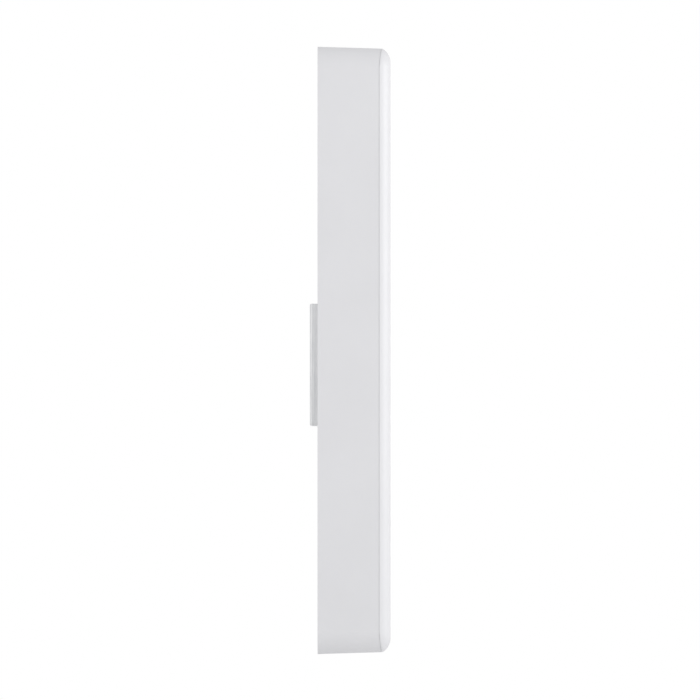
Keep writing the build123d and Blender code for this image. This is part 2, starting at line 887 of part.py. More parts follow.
# slotted sheet that closes the back between the chassis and the shroud's rim
rear_panel_depth = (rear + shell, rear + shell + 1.5)
exhaust_slot = (36.0, 5.0)
with BuildPart() as rear_panel:
    with BuildSketch(facing(rear_panel_depth[0])):
        housing_outline(rear_panel_depth[1], shell + 0.3)
        add(chassis_outline(0.5), mode=Mode.SUBTRACT)
        with Locations([(x, w) for x in (-359.6, 359.6) for w in spaced(-96, 504, 13)]):
            SlotOverall(exhaust_slot[0], exhaust_slot[1], rotation=90, mode=Mode.SUBTRACT)
        with Locations([(-359.6, w) for w in spaced(-446, -146, 7)]):
            SlotOverall(exhaust_slot[0], exhaust_slot[1], rotation=90, mode=Mode.SUBTRACT)
        with Locations([(x, 556) for x in spaced(-300, 300, 13)]):
            SlotOverall(exhaust_slot[0], exhaust_slot[1], mode=Mode.SUBTRACT)
        with Locations([(x, w) for x in spaced(-310, 190, 11) for w in (-500, -516, -532)]):
            SlotOverall(exhaust_slot[0], exhaust_slot[1], mode=Mode.SUBTRACT)
    extrude(amount=span(rear_panel_depth))
save(rear_panel, "rear_panel")

# ---------------------------------------------------------------- front cover and its clips
post_thickness = 2.2
post_width = 16.0
post_rear = 127.2
post_line_x = 366.9
post_line_level = 564.7
clip_width = 14.0
side_posts = [(side * post_line_x, w) for side in (-1, 1) for w in (-460, -190, 92, 330, 505)]
end_posts = [(x, side * post_line_level) for side in (-1, 1) for x in (-290, -60, 230)]

with BuildPart() as cover_posts:
    # blades that push into the clips; the cover's own form trims their front ends
    with BuildSketch(facing(post_rear)):
        with Locations(side_posts):
            Rectangle(post_thickness, post_width)
        with Locations(end_posts):
            Rectangle(post_width, post_thickness)
    extrude(amount=front - post_rear)
    add(cover_form(1.2), mode=Mode.INTERSECT)

with BuildPart() as cover_ribs:
    with BuildSketch(facing(front - shell - 2)):
        with GridLocations(110, 0, 7, 1):
            Rectangle(2, unit_height - 60)
        with GridLocations(0, 110, 1, 11):
            Rectangle(unit_width - 60, 2)
    extrude(amount=3)

with BuildPart() as cover_hollow:
    # behind the lip the wall steps in to pass inside the shroud
    add(cover_form(shell))
    add(ahead_of_seam(4.2), mode=Mode.INTERSECT)
    add(cover_form(lip_insets[1]))

with BuildPart() as front_cover:
    add(cover_form(0))
    add(ahead_of_seam(seam_gap / 2), mode=Mode.INTERSECT)
    add(cover_form(lip_insets[0], start=lip_start))
    add(cover_hollow.part, mode=Mode.SUBTRACT)
    add(cover_posts.part)
    add(cover_ribs.part)
save(front_cover, "front_cover")

with BuildPart() as clip:
    # spring-steel channel, base down, open upward
    with BuildSketch(Plane.XZ.offset(-clip_width / 2)):
        Rectangle(5, 6.4, align=(Align.CENTER, Align.MIN))
        with Locations((0, 0.8)):
            Rectangle(3.4, 6, align=(Align.CENTER, Align.MIN), mode=Mode.SUBTRACT)
    extrude(amount=clip_width)

with BuildPart() as cover_clips:
    with Locations(facing(ledge_depth[1])):
        with Locations(side_posts):
            add(clip.part)
        with Locations(end_posts):
            add(clip.part, rotation=(0, 0, 90))
save(cover_clips, "cover_clips")

# ---------------------------------------------------------------- cooling fans
hub_radius = 15.5
blade_tip = 36.3
blade_count = 7
tray_leg_points = [(x, -depth) for x in (-320, -60, 235) for depth in (42, 104)]
fan_screw_offset = 35.75

with BuildPart() as fan_frames:
    for x in fan_xs:
        with BuildSketch(level_plane(fan_levels[0])):
            with Locations((x, -fan_depth)):
                RectangleRounded(fan_size, fan_size, 4)
                Circle(fan_bore, mode=Mode.SUBTRACT)
                with GridLocations(2 * fan_screw_offset, 2 * fan_screw_offset, 2, 2):
                    Circle(2.2, mode=Mode.SUBTRACT)
        extrude(amount=span(fan_levels))
        # motor plate on three struts, with the bearing tube in its middle
        with BuildSketch(level_plane(fan_levels[0])):
            with Locations((x, -fan_depth)):
                Circle(14)
                with PolarLocations(0, 3, start_angle=30):
                    Rectangle(fan_bore + 0.8, 4, align=(Align.MIN, Align.CENTER))
        extrude(amount=3)
        with BuildSketch(level_plane(fan_levels[0] + 3)):
            with Locations((x, -fan_depth)):
                Circle(4)
        extrude(amount=13)
        with BuildSketch(level_plane(fan_levels[0] + 2)):
            with Locations((x, -fan_depth)):
                Circle(1.6)
        extrude(amount=14, mode=Mode.SUBTRACT)
save(fan_frames, "fan_frames")


def fan_rotor(x):
    """Hub cup, shaft and seven pitched blades of one fan."""
    bottom = fan_levels[0] + 5
    top = fan_levels[1] - 2
    with BuildPart() as rotor:
        with BuildSketch(level_plane(bottom)):
            with Locations((x, -fan_depth)):
                Circle(hub_radius)
        extrude(amount=top - bottom)
        with BuildSketch(level_plane(bottom)):
            with Locations((x, -fan_depth)):
                Circle(hub_radius - 2.5)
        extrude(amount=top - bottom - 2, mode=Mode.SUBTRACT)
        with BuildSketch(level_plane(fan_levels[0] + 2.6)):
            with Locations((x, -fan_depth)):
                Circle(1.5)
        extrude(amount=top - fan_levels[0] - 2.6)
        for i in range(blade_count):
            turn = radians(360 * i / blade_count)
            outward = Vector(cos(turn), sin(turn), 0)
            root = Vector(x, -fan_depth, unit_centre_z + (bottom + top) / 2)
            with BuildSketch(
                Plane(root + outward * (hub_radius - 1), x_dir=(-sin(turn), cos(turn), 0), z_dir=outward)
            ):
                SlotOverall(21, 1.8, rotation=36)
            extrude(amount=blade_tip - hub_radius + 1)
    return rotor.part


with BuildPart() as fan_rotor_left:
    add(fan_rotor(fan_xs[0]))
save(fan_rotor_left, "fan_rotor_left")

with BuildPart() as fan_rotor_right:
    add(fan_rotor(fan_xs[1]))
save(fan_rotor_right, "fan_rotor_right")

with BuildPart() as fan_tray:
    with BuildSketch(level_plane(fan_levels[1])):
        with Locations((-45, -77)):
            RectangleRounded(600, 102, 6)
        for x in fan_xs:
            with Locations((x, -fan_depth)):
                Circle(fan_bore, mode=Mode.SUBTRACT)
                with GridLocations(2 * fan_screw_offset, 2 * fan_screw_offset, 2, 2):
                    Circle(2.2, mode=Mode.SUBTRACT)
    extrude(amount=2)
    with BuildSketch(level_plane(fan_levels[1] + 2)):
        with Locations(tray_leg_points):
            RectangleRounded(12, 12, 2)
    extrude(amount=chassis_bottom - fan_levels[1] - 2)
save(fan_tray, "fan_tray")

with BuildPart() as guard:
    # wire rings on two crossed wires that reach the fan's corner screws
    for ring in (10, 20, 30, 40):
        Torus(ring, 1)
    for turn in (45, 135):
        Cylinder(1, 2 * fan_screw_offset * sqrt(2), rotation=(0, 90, turn))

guard_level = fan_levels[0] - 1.1
with BuildPart() as fan_guards:
    with Locations([(x, -fan_depth, unit_centre_z + guard_level) for x in fan_xs]):
        add(guard.part)
save(fan_guards, "fan_guards")

# ---------------------------------------------------------------- wiring box
box_inner_x = (box_x[0] + box_wall, box_x[1] - box_wall)
mouth_size = (66.0, 300.0)
cover_screw_points = [
    (access_depth + sx * cover_screw_offset[0], access_level + sz * cover_screw_offset[1])
    for sx in (-1, 1)
    for sz in (-1, 1)
]

with BuildPart() as box_cavity:
    with BuildSketch(side_plane(box_inner_x[0])):
        with Locations((-middle(box_depth), middle(box_levels) + (box_floor - box_wall) / 2)):
            RectangleRounded(
                span(box_depth) - 2 * box_wall, span(box_levels) - box_floor - box_wall, 5
            )
    extrude(amount=span(box_inner_x))
    add(drafted_block(shell + 1.5 + box_wall, rear, front), mode=Mode.INTERSECT)

# the box's lower outer corner follows the corner of the housing
with BuildPart() as box_form:
    with BuildSketch(side_plane(box_x[0])):
        with Locations((-middle(box_depth), middle(box_levels))):
            RectangleRounded(span(box_depth), span(box_levels), 8)
    extrude(amount=span(box_x))
    add(drafted_block(shell + 1.5, rear, front), mode=Mode.INTERSECT)


def box_zone(xs, levels):
    """Everything inside the box's depth between two xs and two levels."""
    with BuildPart() as zone:
        with BuildSketch(side_plane(xs[0])):
            with Locations((-middle(box_depth), middle(levels))):
                Rectangle(span(box_depth) + 2, span(levels))
        extrude(amount=span(xs))
    return zone.part


floor_top = box_levels[0] + box_floor
with BuildPart() as box_tub:
    # a back, a front, a top and an inner side, open below and towards the hatch
    add(box_form.part)
    add(box_cavity.part, mode=Mode.SUBTRACT)
    add(box_zone((box_x[0] - 1, box_x[1] + 1), (box_levels[0] - 1, floor_top)), mode=Mode.SUBTRACT)
    add(
        box_zone((box_inner_x[1], box_x[1] + 1), (floor_top - 1, box_levels[1] + 1)),
        mode=Mode.SUBTRACT,
    )
    # feet against the chassis
    with BuildSketch(side_plane(notch_x)):
        with Locations((-70, -230), (-70, -400)):
            RectangleRounded(44, 26, 3)
    extrude(amount=span((notch_x, box_x[0])))

with BuildPart() as mouth_frame:
    # closes the tub towards the hatch, with the box's mouth and the bosses for its cover's screws
    add(box_form.part)
    add(
        box_zone((box_inner_x[1], box_x[1] + 1), (floor_top, box_levels[1] + 1)),
        mode=Mode.INTERSECT,
    )
    with BuildSketch(side_plane(box_x[1] - 12)):
        with Locations([(-depth, w) for depth, w in cover_screw_points]):
            Circle(5)
    extrude(amount=11)
    with BuildSketch(side_plane(box_x[1] - 13)):
        with Locations([(-depth, w) for depth, w in cover_screw_points]):
            Circle(2.4)
    extrude(amount=14, mode=Mode.SUBTRACT)
    add(
        side_rectangle(box_inner_x[1] - 1, access_depth, access_level, mouth_size, 8, 6),
        mode=Mode.SUBTRACT,
    )

box_parts = Compound(children=[box_tub.part, mouth_frame.part])
box_parts.label = "wiring_box"
export_step(box_parts, "parts/wiring_box.step")

with BuildPart() as gland_plate:
    # thick floor of the box, with the two conduit entries
    add(box_form.part)
    add(
        box_zone((box_x[0] - 1, box_x[1] + 1), (box_levels[0] - 1, floor_top)),
        mode=Mode.INTERSECT,
    )
    with BuildSketch(level_plane(box_levels[0])):
        with Locations([(conduit_x, -depth) for depth in conduit_depths]):
            Circle(conduit_radius)
    extrude(amount=box_floor, mode=Mode.SUBTRACT)
save(gland_plate, "gland_plate")

gasket_thickness = 2.0
with BuildPart() as box_gasket:
    add(side_rectangle(box_x[1], access_depth, access_level, (72, 309), 9, gasket_thickness))
    add(side_rectangle(box_x[1] - 1, access_depth, access_level, (67, 301), 8, gasket_thickness + 2),
        mode=Mode.SUBTRACT)
save(box_gasket, "box_gasket")

panel_gap = 0.8
with BuildPart() as cover_patch:
    # a patch of the shroud's own drafted wall, with a rim that presses on the gasket
    add(drafted_block(0, rear, front))
    add(drafted_block(shell, rear - 1, front + 1), mode=Mode.SUBTRACT)
    add(
        side_rectangle(
            366,
            access_depth,
            access_level,
            (access_size[0] - panel_gap, access_size[1] - panel_gap),
            access_corner - panel_gap / 2,
            20,
        ),
        mode=Mode.INTERSECT,
    )

with BuildPart() as cover_rim:
    add(side_rectangle(366.3, access_depth, access_level, (74, 311), 10, 12))
    add(side_rectangle(366, access_depth, access_level, (68, 303), 8, 13), mode=Mode.SUBTRACT)
    with BuildSketch(side_plane(366.3)):
        with Locations([(-depth, w) for depth, w in cover_screw_points]):
            Circle(5)
    extrude(amount=12)
    add(drafted_block(1.0, rear, front), mode=Mode.INTERSECT)

cover_screw = countersunk_screw(radius=2, length=20, head_radius=4)
with BuildPart() as wiring_cover:
    add(cover_patch.part)
    add(cover_rim.part)
    for depth, w in cover_screw_points:
        with Locations(side_plane(half_width(depth + 5))):
            with Locations((-depth, w)):
                CounterSinkHole(2 + clearance, 4 + clearance, depth=14)
                Cylinder(4.1, 2, align=(Align.CENTER, Align.CENTER, Align.MIN), mode=Mode.SUBTRACT)
save(wiring_cover, "wiring_cover")

with BuildPart() as wiring_cover_screws:
    for depth, w in cover_screw_points:
        with Locations(side_plane(half_width(depth + 5))):
            with Locations((-depth, w)):
                add(cover_screw)
save(wiring_cover_screws, "wiring_cover_screws")

with BuildPart() as terminal_block:
    add(side_rectangle(block_x[0], access_depth, middle(block_levels), (76, span(block_levels)), 2, 30))
    # cheeks between the levers
    with BuildSketch(side_plane(block_x[1])):
        with Locations([(-depth, lever_axis[1]) for depth in (39, 57, 75, 93, 111)]):
            Rectangle(3.2, 12)
    extrude(amount=6)
    # wire entries from below
    with BuildSketch(level_plane(block_levels[0])):
        with Locations([(middle(block_x), -depth) for depth in lever_depths]):
            Circle(3.6)
    extrude(amount=20, mode=Mode.SUBTRACT)
save(terminal_block, "terminal_block")


def terminal_lever(depth):
    """A flat lever hinged at its top, lying down the face of the terminal block."""
    axis_x, axis_level = lever_axis
    with BuildPart() as lever:
        with BuildSketch(facing(depth - lever_width / 2)):
            with Locations((axis_x, axis_level)):
                Circle(2.9)
            with Locations((axis_x - 0.4, axis_level - 15)):
                Rectangle(4, 30)
            with Locations((axis_x + 1.2, axis_level - 28)):
                Rectangle(5, 4)
        extrude(amount=lever_width)
    return lever.part


for number, depth in enumerate(lever_depths, start=1):
    with BuildPart() as terminal_lever_piece:
        add(terminal_lever(depth))
    save(terminal_lever_piece, f"terminal_lever_{number}")

with BuildPart() as din_rail:
    # top-hat section that runs across the depth of the box
    with BuildSketch(facing(32)) as rail_section:
        with BuildLine():
            Polyline(
                (box_inner_x[0], rail_level - 12.5),
                (box_inner_x[0], rail_level + 12.5),
                (box_inner_x[0] + 6.5, rail_level + 12.5),
                (box_inner_x[0] + 6.5, rail_level + 17.5),
                (box_inner_x[0] + 7.5, rail_level + 17.5),
                (box_inner_x[0] + 7.5, rail_level + 11.5),
                (box_inner_x[0] + 1, rail_level + 11.5),
                (box_inner_x[0] + 1, rail_level - 11.5),
                (box_inner_x[0] + 7.5, rail_level - 11.5),
                (box_inner_x[0] + 7.5, rail_level - 17.5),
                (box_inner_x[0] + 6.5, rail_level - 17.5),
                (box_inner_x[0] + 6.5, rail_level - 12.5),
                close=True,
            )
        make_face()
    extrude(amount=84)
save(din_rail, "din_rail")

with BuildPart() as circuit_breaker:
    add(side_rectangle(box_inner_x[0] + 7.5, access_depth, rail_level, (36, 80), 2,
                       breaker_front - box_inner_x[0] - 7.5))
    add(side_rectangle(breaker_front, access_depth, rail_level, (36, 44), 1.5, 6))
    add(side_rectangle(toggle_axis_x - 8, access_depth, rail_level, (28, 26), 1.5, 20),
        mode=Mode.SUBTRACT)
save(circuit_breaker, "circuit_breaker")

with BuildPart() as breaker_toggle:
    # two handles tied together, resting in the "on" position
    tip = (toggle_axis_x + 12 * cos(radians(30)), rail_level + 12 * sin(radians(30)))
    with BuildSketch(facing(access_depth - 13)):
        with Locations((toggle_axis_x, rail_level)):
            Circle(5)
        with Locations((middle((toggle_axis_x, tip[0])), middle((rail_level, tip[1])))):
            RectangleRounded(14, 4.4, 1.5, rotation=30)
    extrude(amount=26)
save(breaker_toggle, "breaker_toggle")

wire_x = middle(block_x)
with BuildPart() as ac_wires:
    for depth in lever_depths:
        route = [
            (wire_x, -depth, unit_centre_z + block_levels[1]),
            (wire_x, -depth, unit_centre_z + block_levels[1] + 18),
            (box_inner_x[0], -depth, unit_centre_z + block_levels[1] + 18),
        ]
        with BuildLine() as wire_path:
            FilletPolyline(route, radius=9)
        with BuildSketch(wire_path.line ^ 0):
            Circle(2.2)
        sweep(path=wire_path.line)
save(ac_wires, "ac_wires")

with BuildPart() as conduit_plug:
    with BuildSketch(level_plane(-571.6)):
        with Locations((conduit_x, -conduit_depths[1])):
            Circle(18.4)
    extrude(amount=box_levels[0] - clearance + 571.6)
    with BuildSketch(level_plane(box_levels[0] - clearance)):
        with Locations((conduit_x, -conduit_depths[1])):
            Circle(conduit_radius - clearance)
    extrude(amount=box_floor + 3)
save(conduit_plug, "conduit_plug")

# ---------------------------------------------------------------- side controls
control_depth = fan_depth
housing_x = (356.0, 371.0)
rocker_size = (16.0, 25.0)

with BuildPart() as panel_flange:
    add(drafted_block(shell + 0.2, rear, front))
    add(side_slot(362, control_depth, panel_level, (44, 246), 20), mode=Mode.INTERSECT)
with BuildPart() as control_panel:
    add(drafted_block(0, rear, front))
    add(side_slot(362, control_depth, panel_level, panel_size, 20), mode=Mode.INTERSECT)
    add(panel_flange.part)
    add(drafted_block(shell + 1.7, rear - 1, front + 1), mode=Mode.SUBTRACT)
    add(side_rectangle(362, control_depth, rocker_level, (17.2, 27.2), 2, 20), mode=Mode.SUBTRACT)
    add(side_slot(362, control_depth, light_level, light_size, 20), mode=Mode.SUBTRACT)
    with BuildSketch(side_plane(362)):
        with Locations((-control_depth, button_level)):
            Circle(5.2)
    extrude(amount=20, mode=Mode.SUBTRACT)
save(control_panel, "control_panel")

with BuildPart() as status_light_guide:
    add(drafted_block(0.2, rear, front))
    add(drafted_block(7, rear - 1, front + 1), mode=Mode.SUBTRACT)
    add(side_slot(362, control_depth, light_level, (light_size[0] - 0.4, light_size[1] - 0.4), 20),
        mode=Mode.INTERSECT)
save(status_light_guide, "status_light_guide")

with BuildPart() as control_pcb:
    with BuildSketch(side_plane(353.2)):
        with Locations((-control_depth, panel_level)):
            RectangleRounded(30, 224, 2)
    extrude(amount=1.6)
    # switch under the button, and lamps behind the light guide
    with BuildSketch(side_plane(354.8)):
        with Locations((-control_depth, button_level)):
            RectangleRounded(6, 6, 0.5)
        with Locations([(-control_depth, light_level + i * 15) for i in range(-3, 4)]):
            RectangleRounded(5, 5, 0.5)
    extrude(amount=2)
    # feet on the chassis wall
    with BuildSketch(side_plane(chassis_half_width)):
        with Locations([(-control_depth, w) for w in (-110, 0, 80)]):
            Circle(4)
    extrude(amount=353.2 - chassis_half_width)
save(control_pcb, "control_pcb")

with BuildPart() as rocker_housing:
    add(side_rectangle(354.8, control_depth, rocker_level, (21, 34), 1.5, housing_x[1] - 354.8))
    add(side_rectangle(360, control_depth, rocker_level, (17, 28), 1, 20), mode=Mode.SUBTRACT)
save(rocker_housing, "rocker_housing")

with BuildPart() as rocker:
    # a shallow V on top, tilted so that the lower end is pressed in
    with BuildSketch(facing(control_depth - rocker_size[0] / 2)) as rocker_section:
        half = rocker_size[1] / 2
        with Locations((rocker_axis_x, rocker_level)):
            with Locations(Rotation(0, 0, -rocker_tilt)):
                Polygon(
                    (3.4, half),
                    (1.2, 0),
                    (3.4, -half),
                    (-3, -half + 1.5),
                    (-7, 0),
                    (-3, half - 1.5),
                    align=None,
                )
    extrude(amount=rocker_size[0])
save(rocker, "rocker")

button_face_x = half_width(control_depth) + 0.4
with BuildPart() as reset_button:
    for start, end, radius in ((368, button_face_x, 4.6), (367, 369, 6.2), (359.4, 368, 2.5)):
        with BuildSketch(side_plane(start)):
            with Locations((-control_depth, button_level)):
                Circle(radius)
        extrude(amount=end - start)
save(reset_button, "reset_button")
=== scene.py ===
import json
from math import asin, pi, radians, tan

import bmesh
import bpy
from mathutils import Matrix, Vector


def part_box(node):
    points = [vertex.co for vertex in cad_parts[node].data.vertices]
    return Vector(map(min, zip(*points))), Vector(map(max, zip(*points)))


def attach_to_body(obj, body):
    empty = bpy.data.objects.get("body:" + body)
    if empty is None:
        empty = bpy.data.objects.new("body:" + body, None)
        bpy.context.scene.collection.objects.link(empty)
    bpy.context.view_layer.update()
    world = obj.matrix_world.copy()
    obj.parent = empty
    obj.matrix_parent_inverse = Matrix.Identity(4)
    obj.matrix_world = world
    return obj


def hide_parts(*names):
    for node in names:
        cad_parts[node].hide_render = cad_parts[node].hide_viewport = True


# Wall battery unit. Metres, +Z up, the front looks along -Y and the wall is the plane y = 0.
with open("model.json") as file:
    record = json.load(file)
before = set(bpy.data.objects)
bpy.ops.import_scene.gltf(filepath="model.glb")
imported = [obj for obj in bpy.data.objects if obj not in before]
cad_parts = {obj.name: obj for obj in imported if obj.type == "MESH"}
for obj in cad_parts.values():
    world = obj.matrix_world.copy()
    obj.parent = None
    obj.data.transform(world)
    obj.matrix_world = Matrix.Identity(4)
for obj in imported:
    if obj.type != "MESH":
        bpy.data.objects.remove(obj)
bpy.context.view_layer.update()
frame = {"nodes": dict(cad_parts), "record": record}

MM = 0.001
TINY = 1e-6

# ---------------------------------------------------------------- sizes read from the frame
shroud_low, shroud_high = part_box("side_shroud")
cover_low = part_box("front_cover")[0]
CENTRE_Z = (shroud_low.z + shroud_high.z) / 2
HALF_WIDTH = (shroud_high.x - shroud_low.x) / 2
HALF_HEIGHT = (shroud_high.z - shroud_low.z) / 2
REAR = -shroud_high.y
FRONT = -cover_low.y

DRAFT = radians(1.7)
CORNER = 44 * MM
SHELL = 2.5 * MM
CROWN_RADIUS = 29.3 * MM
CREASE = FRONT - 20.8 * MM
CROWN_WIDER = 1.3 * MM  # the rolled edge starts from a block this much larger than the sides
CROWN_TALLER = 3.4 * MM
CROWN_START = 110 * MM
SEAM = CREASE - 1 * MM
SEAM_GAP = 0.4 * MM
SWING_RUN = 40 * MM  # the seam swings forward by the rise over the last run of each side
SWING_RISE = 5 * MM
CORNER_STEPS = 20


# ---------------------------------------------------------------- mesh helpers
def finished(shape, name):
    """Turns a bmesh into an object standing in the scene."""
    mesh = bpy.data.meshes.new(name)
    bmesh.ops.recalc_face_normals(shape, faces=shape.faces)
    shape.to_mesh(mesh)
    shape.free()
    piece = bpy.data.objects.new(name, mesh)
    bpy.context.scene.collection.objects.link(piece)
    return piece


def apply_modifiers(piece):
    """Makes a piece's modifiers permanent."""
    bpy.context.view_layer.update()
    evaluated = piece.evaluated_get(bpy.context.evaluated_depsgraph_get())
    mesh = bpy.data.meshes.new_from_object(evaluated)
    piece.modifiers.clear()
    piece.data = mesh


def combine(piece, tool, operation):
    """Cuts, joins or crosses a piece with a tool shape, which is used up."""
    step = piece.modifiers.new(operation, "BOOLEAN")
    step.operation = operation
    step.solver = "EXACT"
    step.object = tool
    apply_modifiers(piece)
    bpy.data.objects.remove(tool)
    return piece


def cut(piece, *tools):
    for tool in tools:
        combine(piece, tool, "DIFFERENCE")
    return piece


def weld(piece, *tools):
    for tool in tools:
        combine(piece, tool, "UNION")
    return piece


def cross(piece, tool):
    return combine(piece, tool, "INTERSECT")


def blocks(corners, radius=0, axis=1, segments=8, name="blocks"):
    """Separate blocks, each between two corners, whose edges along one axis may be rounded."""
    shape = bmesh.new()
    for low, high in corners:
        low, high = Vector(low), Vector(high)
        made = bmesh.ops.create_cube(shape, size=1)["verts"]
        bmesh.ops.scale(shape, vec=high - low, verts=made)
        bmesh.ops.translate(shape, vec=(low + high) / 2, verts=made)
    if radius:
        along = [e for e in shape.edges if abs(e.verts[0].co[axis] - e.verts[1].co[axis]) > TINY]
        bmesh.ops.bevel(
            shape, geom=along, offset=radius, segments=segments, profile=0.5, affect="EDGES",
            material=-1,
        )
    return finished(shape, name)


def rods(ends, radius, segments=32, name="rods"):
    """Separate round bars, each between two points."""
    shape = bmesh.new()
    for start, end in ends:
        start, end = Vector(start), Vector(end)
        made = bmesh.ops.create_cone(
            shape, cap_ends=True, segments=segments, radius1=radius, radius2=radius,
            depth=(end - start).length,
        )["verts"]
        turn = (end - start).to_track_quat("Z", "Y").to_matrix().to_4x4()
        place = Matrix.Translation((start + end) / 2) @ turn
        bmesh.ops.transform(shape, matrix=place, verts=made)
    return finished(shape, name)


def spaced(start, end, count):
    """Evenly spaced values from start to end."""
    return [start + (end - start) * i / (count - 1) for i in range(count)]


def at(x, depth, level):
    """A point given as x, depth and level in millimetres."""
    return Vector((x * MM, -depth * MM, CENTRE_Z + level * MM))


def around(x, depth, level, size):
    """Corners of a block about a point given as x, depth and level in millimetres."""
    half = Vector(size) * MM / 2
    return at(x, depth, level) - half, at(x, depth, level) + half


def shrink(depth):
    """How far the drafted sides have drawn in at a depth in metres in front of the wall."""
    return (depth - REAR) * tan(DRAFT)


def drafted_form(inset, start, end, name="drafted_form"):
    """The housing's tapered outer form, taken in by an inset: a thin slab drawn out with draft."""
    across = HALF_WIDTH - shrink(start) - inset
    up = HALF_HEIGHT - shrink(start) - inset
    slab = 0.01 * MM
    shape = bmesh.new()
    bmesh.ops.create_cube(shape, size=2)
    bmesh.ops.scale(shape, vec=(across, slab / 2, up), verts=shape.verts)
    bmesh.ops.translate(shape, vec=(0, -start - slab / 2, CENTRE_Z), verts=shape.verts)
    corners = [e for e in shape.edges if abs(e.verts[0].co.y - e.verts[1].co.y) > slab / 2]
    bmesh.ops.bevel(
        shape, geom=corners, offset=CORNER - shrink(start) - inset, segments=CORNER_STEPS,
        profile=0.5, affect="EDGES", material=-1,
    )
    front = min(shape.faces, key=lambda face: face.calc_center_median().y)
    bmesh.ops.inset_region(
        shape, faces=[front], thickness=(end - start) * tan(DRAFT), depth=end - start - slab,
        use_even_offset=True,
    )
    return finished(shape, name)


def crown_form(inset):
    """A slightly larger block with the front cover's rolled edge round its face."""
    across = HALF_WIDTH - shrink(CREASE) + CROWN_WIDER - inset
    up = HALF_HEIGHT - shrink(CREASE) + CROWN_TALLER - inset
    face_at = FRONT - inset
    shape = bmesh.new()
    bmesh.ops.create_cube(shape, size=2)
    bmesh.ops.scale(shape, vec=(across, (face_at - CROWN_START) / 2, up), verts=shape.verts)
    bmesh.ops.translate(shape, vec=(0, -(face_at + CROWN_START) / 2, CENTRE_Z), verts=shape.verts)
    corners = [e for e in shape.edges if abs(e.verts[0].co.y - e.verts[1].co.y) > MM]
    bmesh.ops.bevel(
        shape, geom=corners, offset=CORNER - shrink(CREASE) + 2 * MM - inset,
        segments=CORNER_STEPS, profile=0.5, affect="EDGES", material=-1,
    )
    rim = [e for e in shape.edges if max(v.co.y for v in e.verts) < -face_at + TINY]
    bmesh.ops.bevel(
        shape, geom=rim, offset=CROWN_RADIUS - inset, segments=18, profile=0.5, affect="EDGES",
        material=-1,
    )
    return finished(shape, "crown_form")


def cover_form(inset, start=CROWN_START):
    """The front cover's full form: the drafted sides cut by the rolled edge."""
    return cross(drafted_form(inset, start, FRONT + 5 * MM, "cover_form"), crown_form(inset))


def seam_side(shift, forward):
    """Everything ahead of the seam, or behind it. The seam runs straight up the sides and
    swings forward round the corners, where one vertex is rolled out into an arc."""
    seam = SEAM + shift
    swing_from = HALF_HEIGHT - shrink(CREASE) - SWING_RUN
    swing_radius = SWING_RUN ** 2 / (2 * SWING_RISE)
    swing_angle = asin(SWING_RUN / (swing_radius + SWING_RISE / 2))
    roll = swing_radius * tan(swing_angle / 2)
    corner = swing_from + roll
    reach = 60 * MM
    far = FRONT + 40 * MM if forward else -30 * MM
    end_depth = seam + reach * tan(swing_angle)
    profile = [
        (seam, corner), (end_depth, corner + reach), (far, corner + reach),
        (far, -corner - reach), (end_depth, -corner - reach), (seam, -corner),
    ]
    shape = bmesh.new()
    side = -2 * HALF_WIDTH
    rim = [shape.verts.new((side, -depth, CENTRE_Z + level)) for depth, level in profile]
    shape.faces.new(rim)
    bmesh.ops.bevel(
        shape, geom=[rim[0], rim[-1]], offset=roll, segments=12, profile=0.5, affect="VERTICES",
        material=-1,
    )
    swept = bmesh.ops.extrude_face_region(shape, geom=list(shape.faces), use_keep_orig=True)
    moved = [v for v in swept["geom"] if isinstance(v, bmesh.types.BMVert)]
    bmesh.ops.translate(shape, vec=(4 * HALF_WIDTH, 0, 0), verts=moved)
    return finished(shape, "seam_side")


def break_edges(piece, width, segments, angle):
    """Takes the sharpness off a piece's edges and shades it smoothly between them."""
    for polygon in piece.data.polygons:
        polygon.use_smooth = True
    piece.data.set_sharp_from_angle(angle=radians(angle))
    edge = piece.modifiers.new("broken_edges", "BEVEL")
    edge.width = width
    edge.segments = segments
    edge.limit_method = "ANGLE"
    edge.angle_limit = radians(angle)
    edge.miter_outer = "MITER_ARC"
    edge.harden_normals = False
    shade = piece.modifiers.new("even_shading", "WEIGHTED_NORMAL")
    shade.keep_sharp = True
    shade.weight = 90
    return piece


# These have flat faces with more openings than one large face can follow: they keep triangles.
MANY_HOLED = {"rear_chassis", "heat_sink"}
SAME_POINT = 0.002 * MM


def welded_copy(node):
    """A CAD node's shape as one welded mesh, its flat faces made whole."""
    shape = bmesh.new()
    shape.from_mesh(frame["nodes"][node].data)
    bmesh.ops.remove_doubles(shape, verts=shape.verts, dist=SAME_POINT)
    if node not in MANY_HOLED:
        bmesh.ops.dissolve_limit(
            shape, angle_limit=radians(0.2), verts=shape.verts, edges=shape.edges,
            delimit={"NORMAL"},
        )
    mesh = bpy.data.meshes.new(node + "_finished")
    shape.to_mesh(mesh)
    shape.free()
    piece = bpy.data.objects.new(node + "_finished", mesh)
    bpy.context.scene.collection.objects.link(piece)
    return piece


slot_of = {part["node"]: part["material_slot"] for part in frame["record"]["subparts"]}


def attach(piece, body, material):
    """Rides a piece on a body, with its finish."""
    piece.data.materials.clear()
    piece.data.materials.append(material)
    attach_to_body(piece, body)


def stand_for(piece, body, material, node):
    """Rides a finished piece on its body and hides the CAD node that it stands for."""
    attach(piece, body, material)
    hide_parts(node)


# ---------------------------------------------------------------- material helpers
NOISE_LOW, NOISE_HIGH = 0.3, 0.7  # nearly all of a noise lies between these


def linear(hex_colour):
    """An sRGB hex colour as linear RGBA."""
    channels = [int(hex_colour[i:i + 2], 16) / 255 for i in (1, 3, 5)]
    return [c / 12.92 if c <= 0.04045 else ((c + 0.055) / 1.055) ** 2.4 for c in channels] + [1.0]


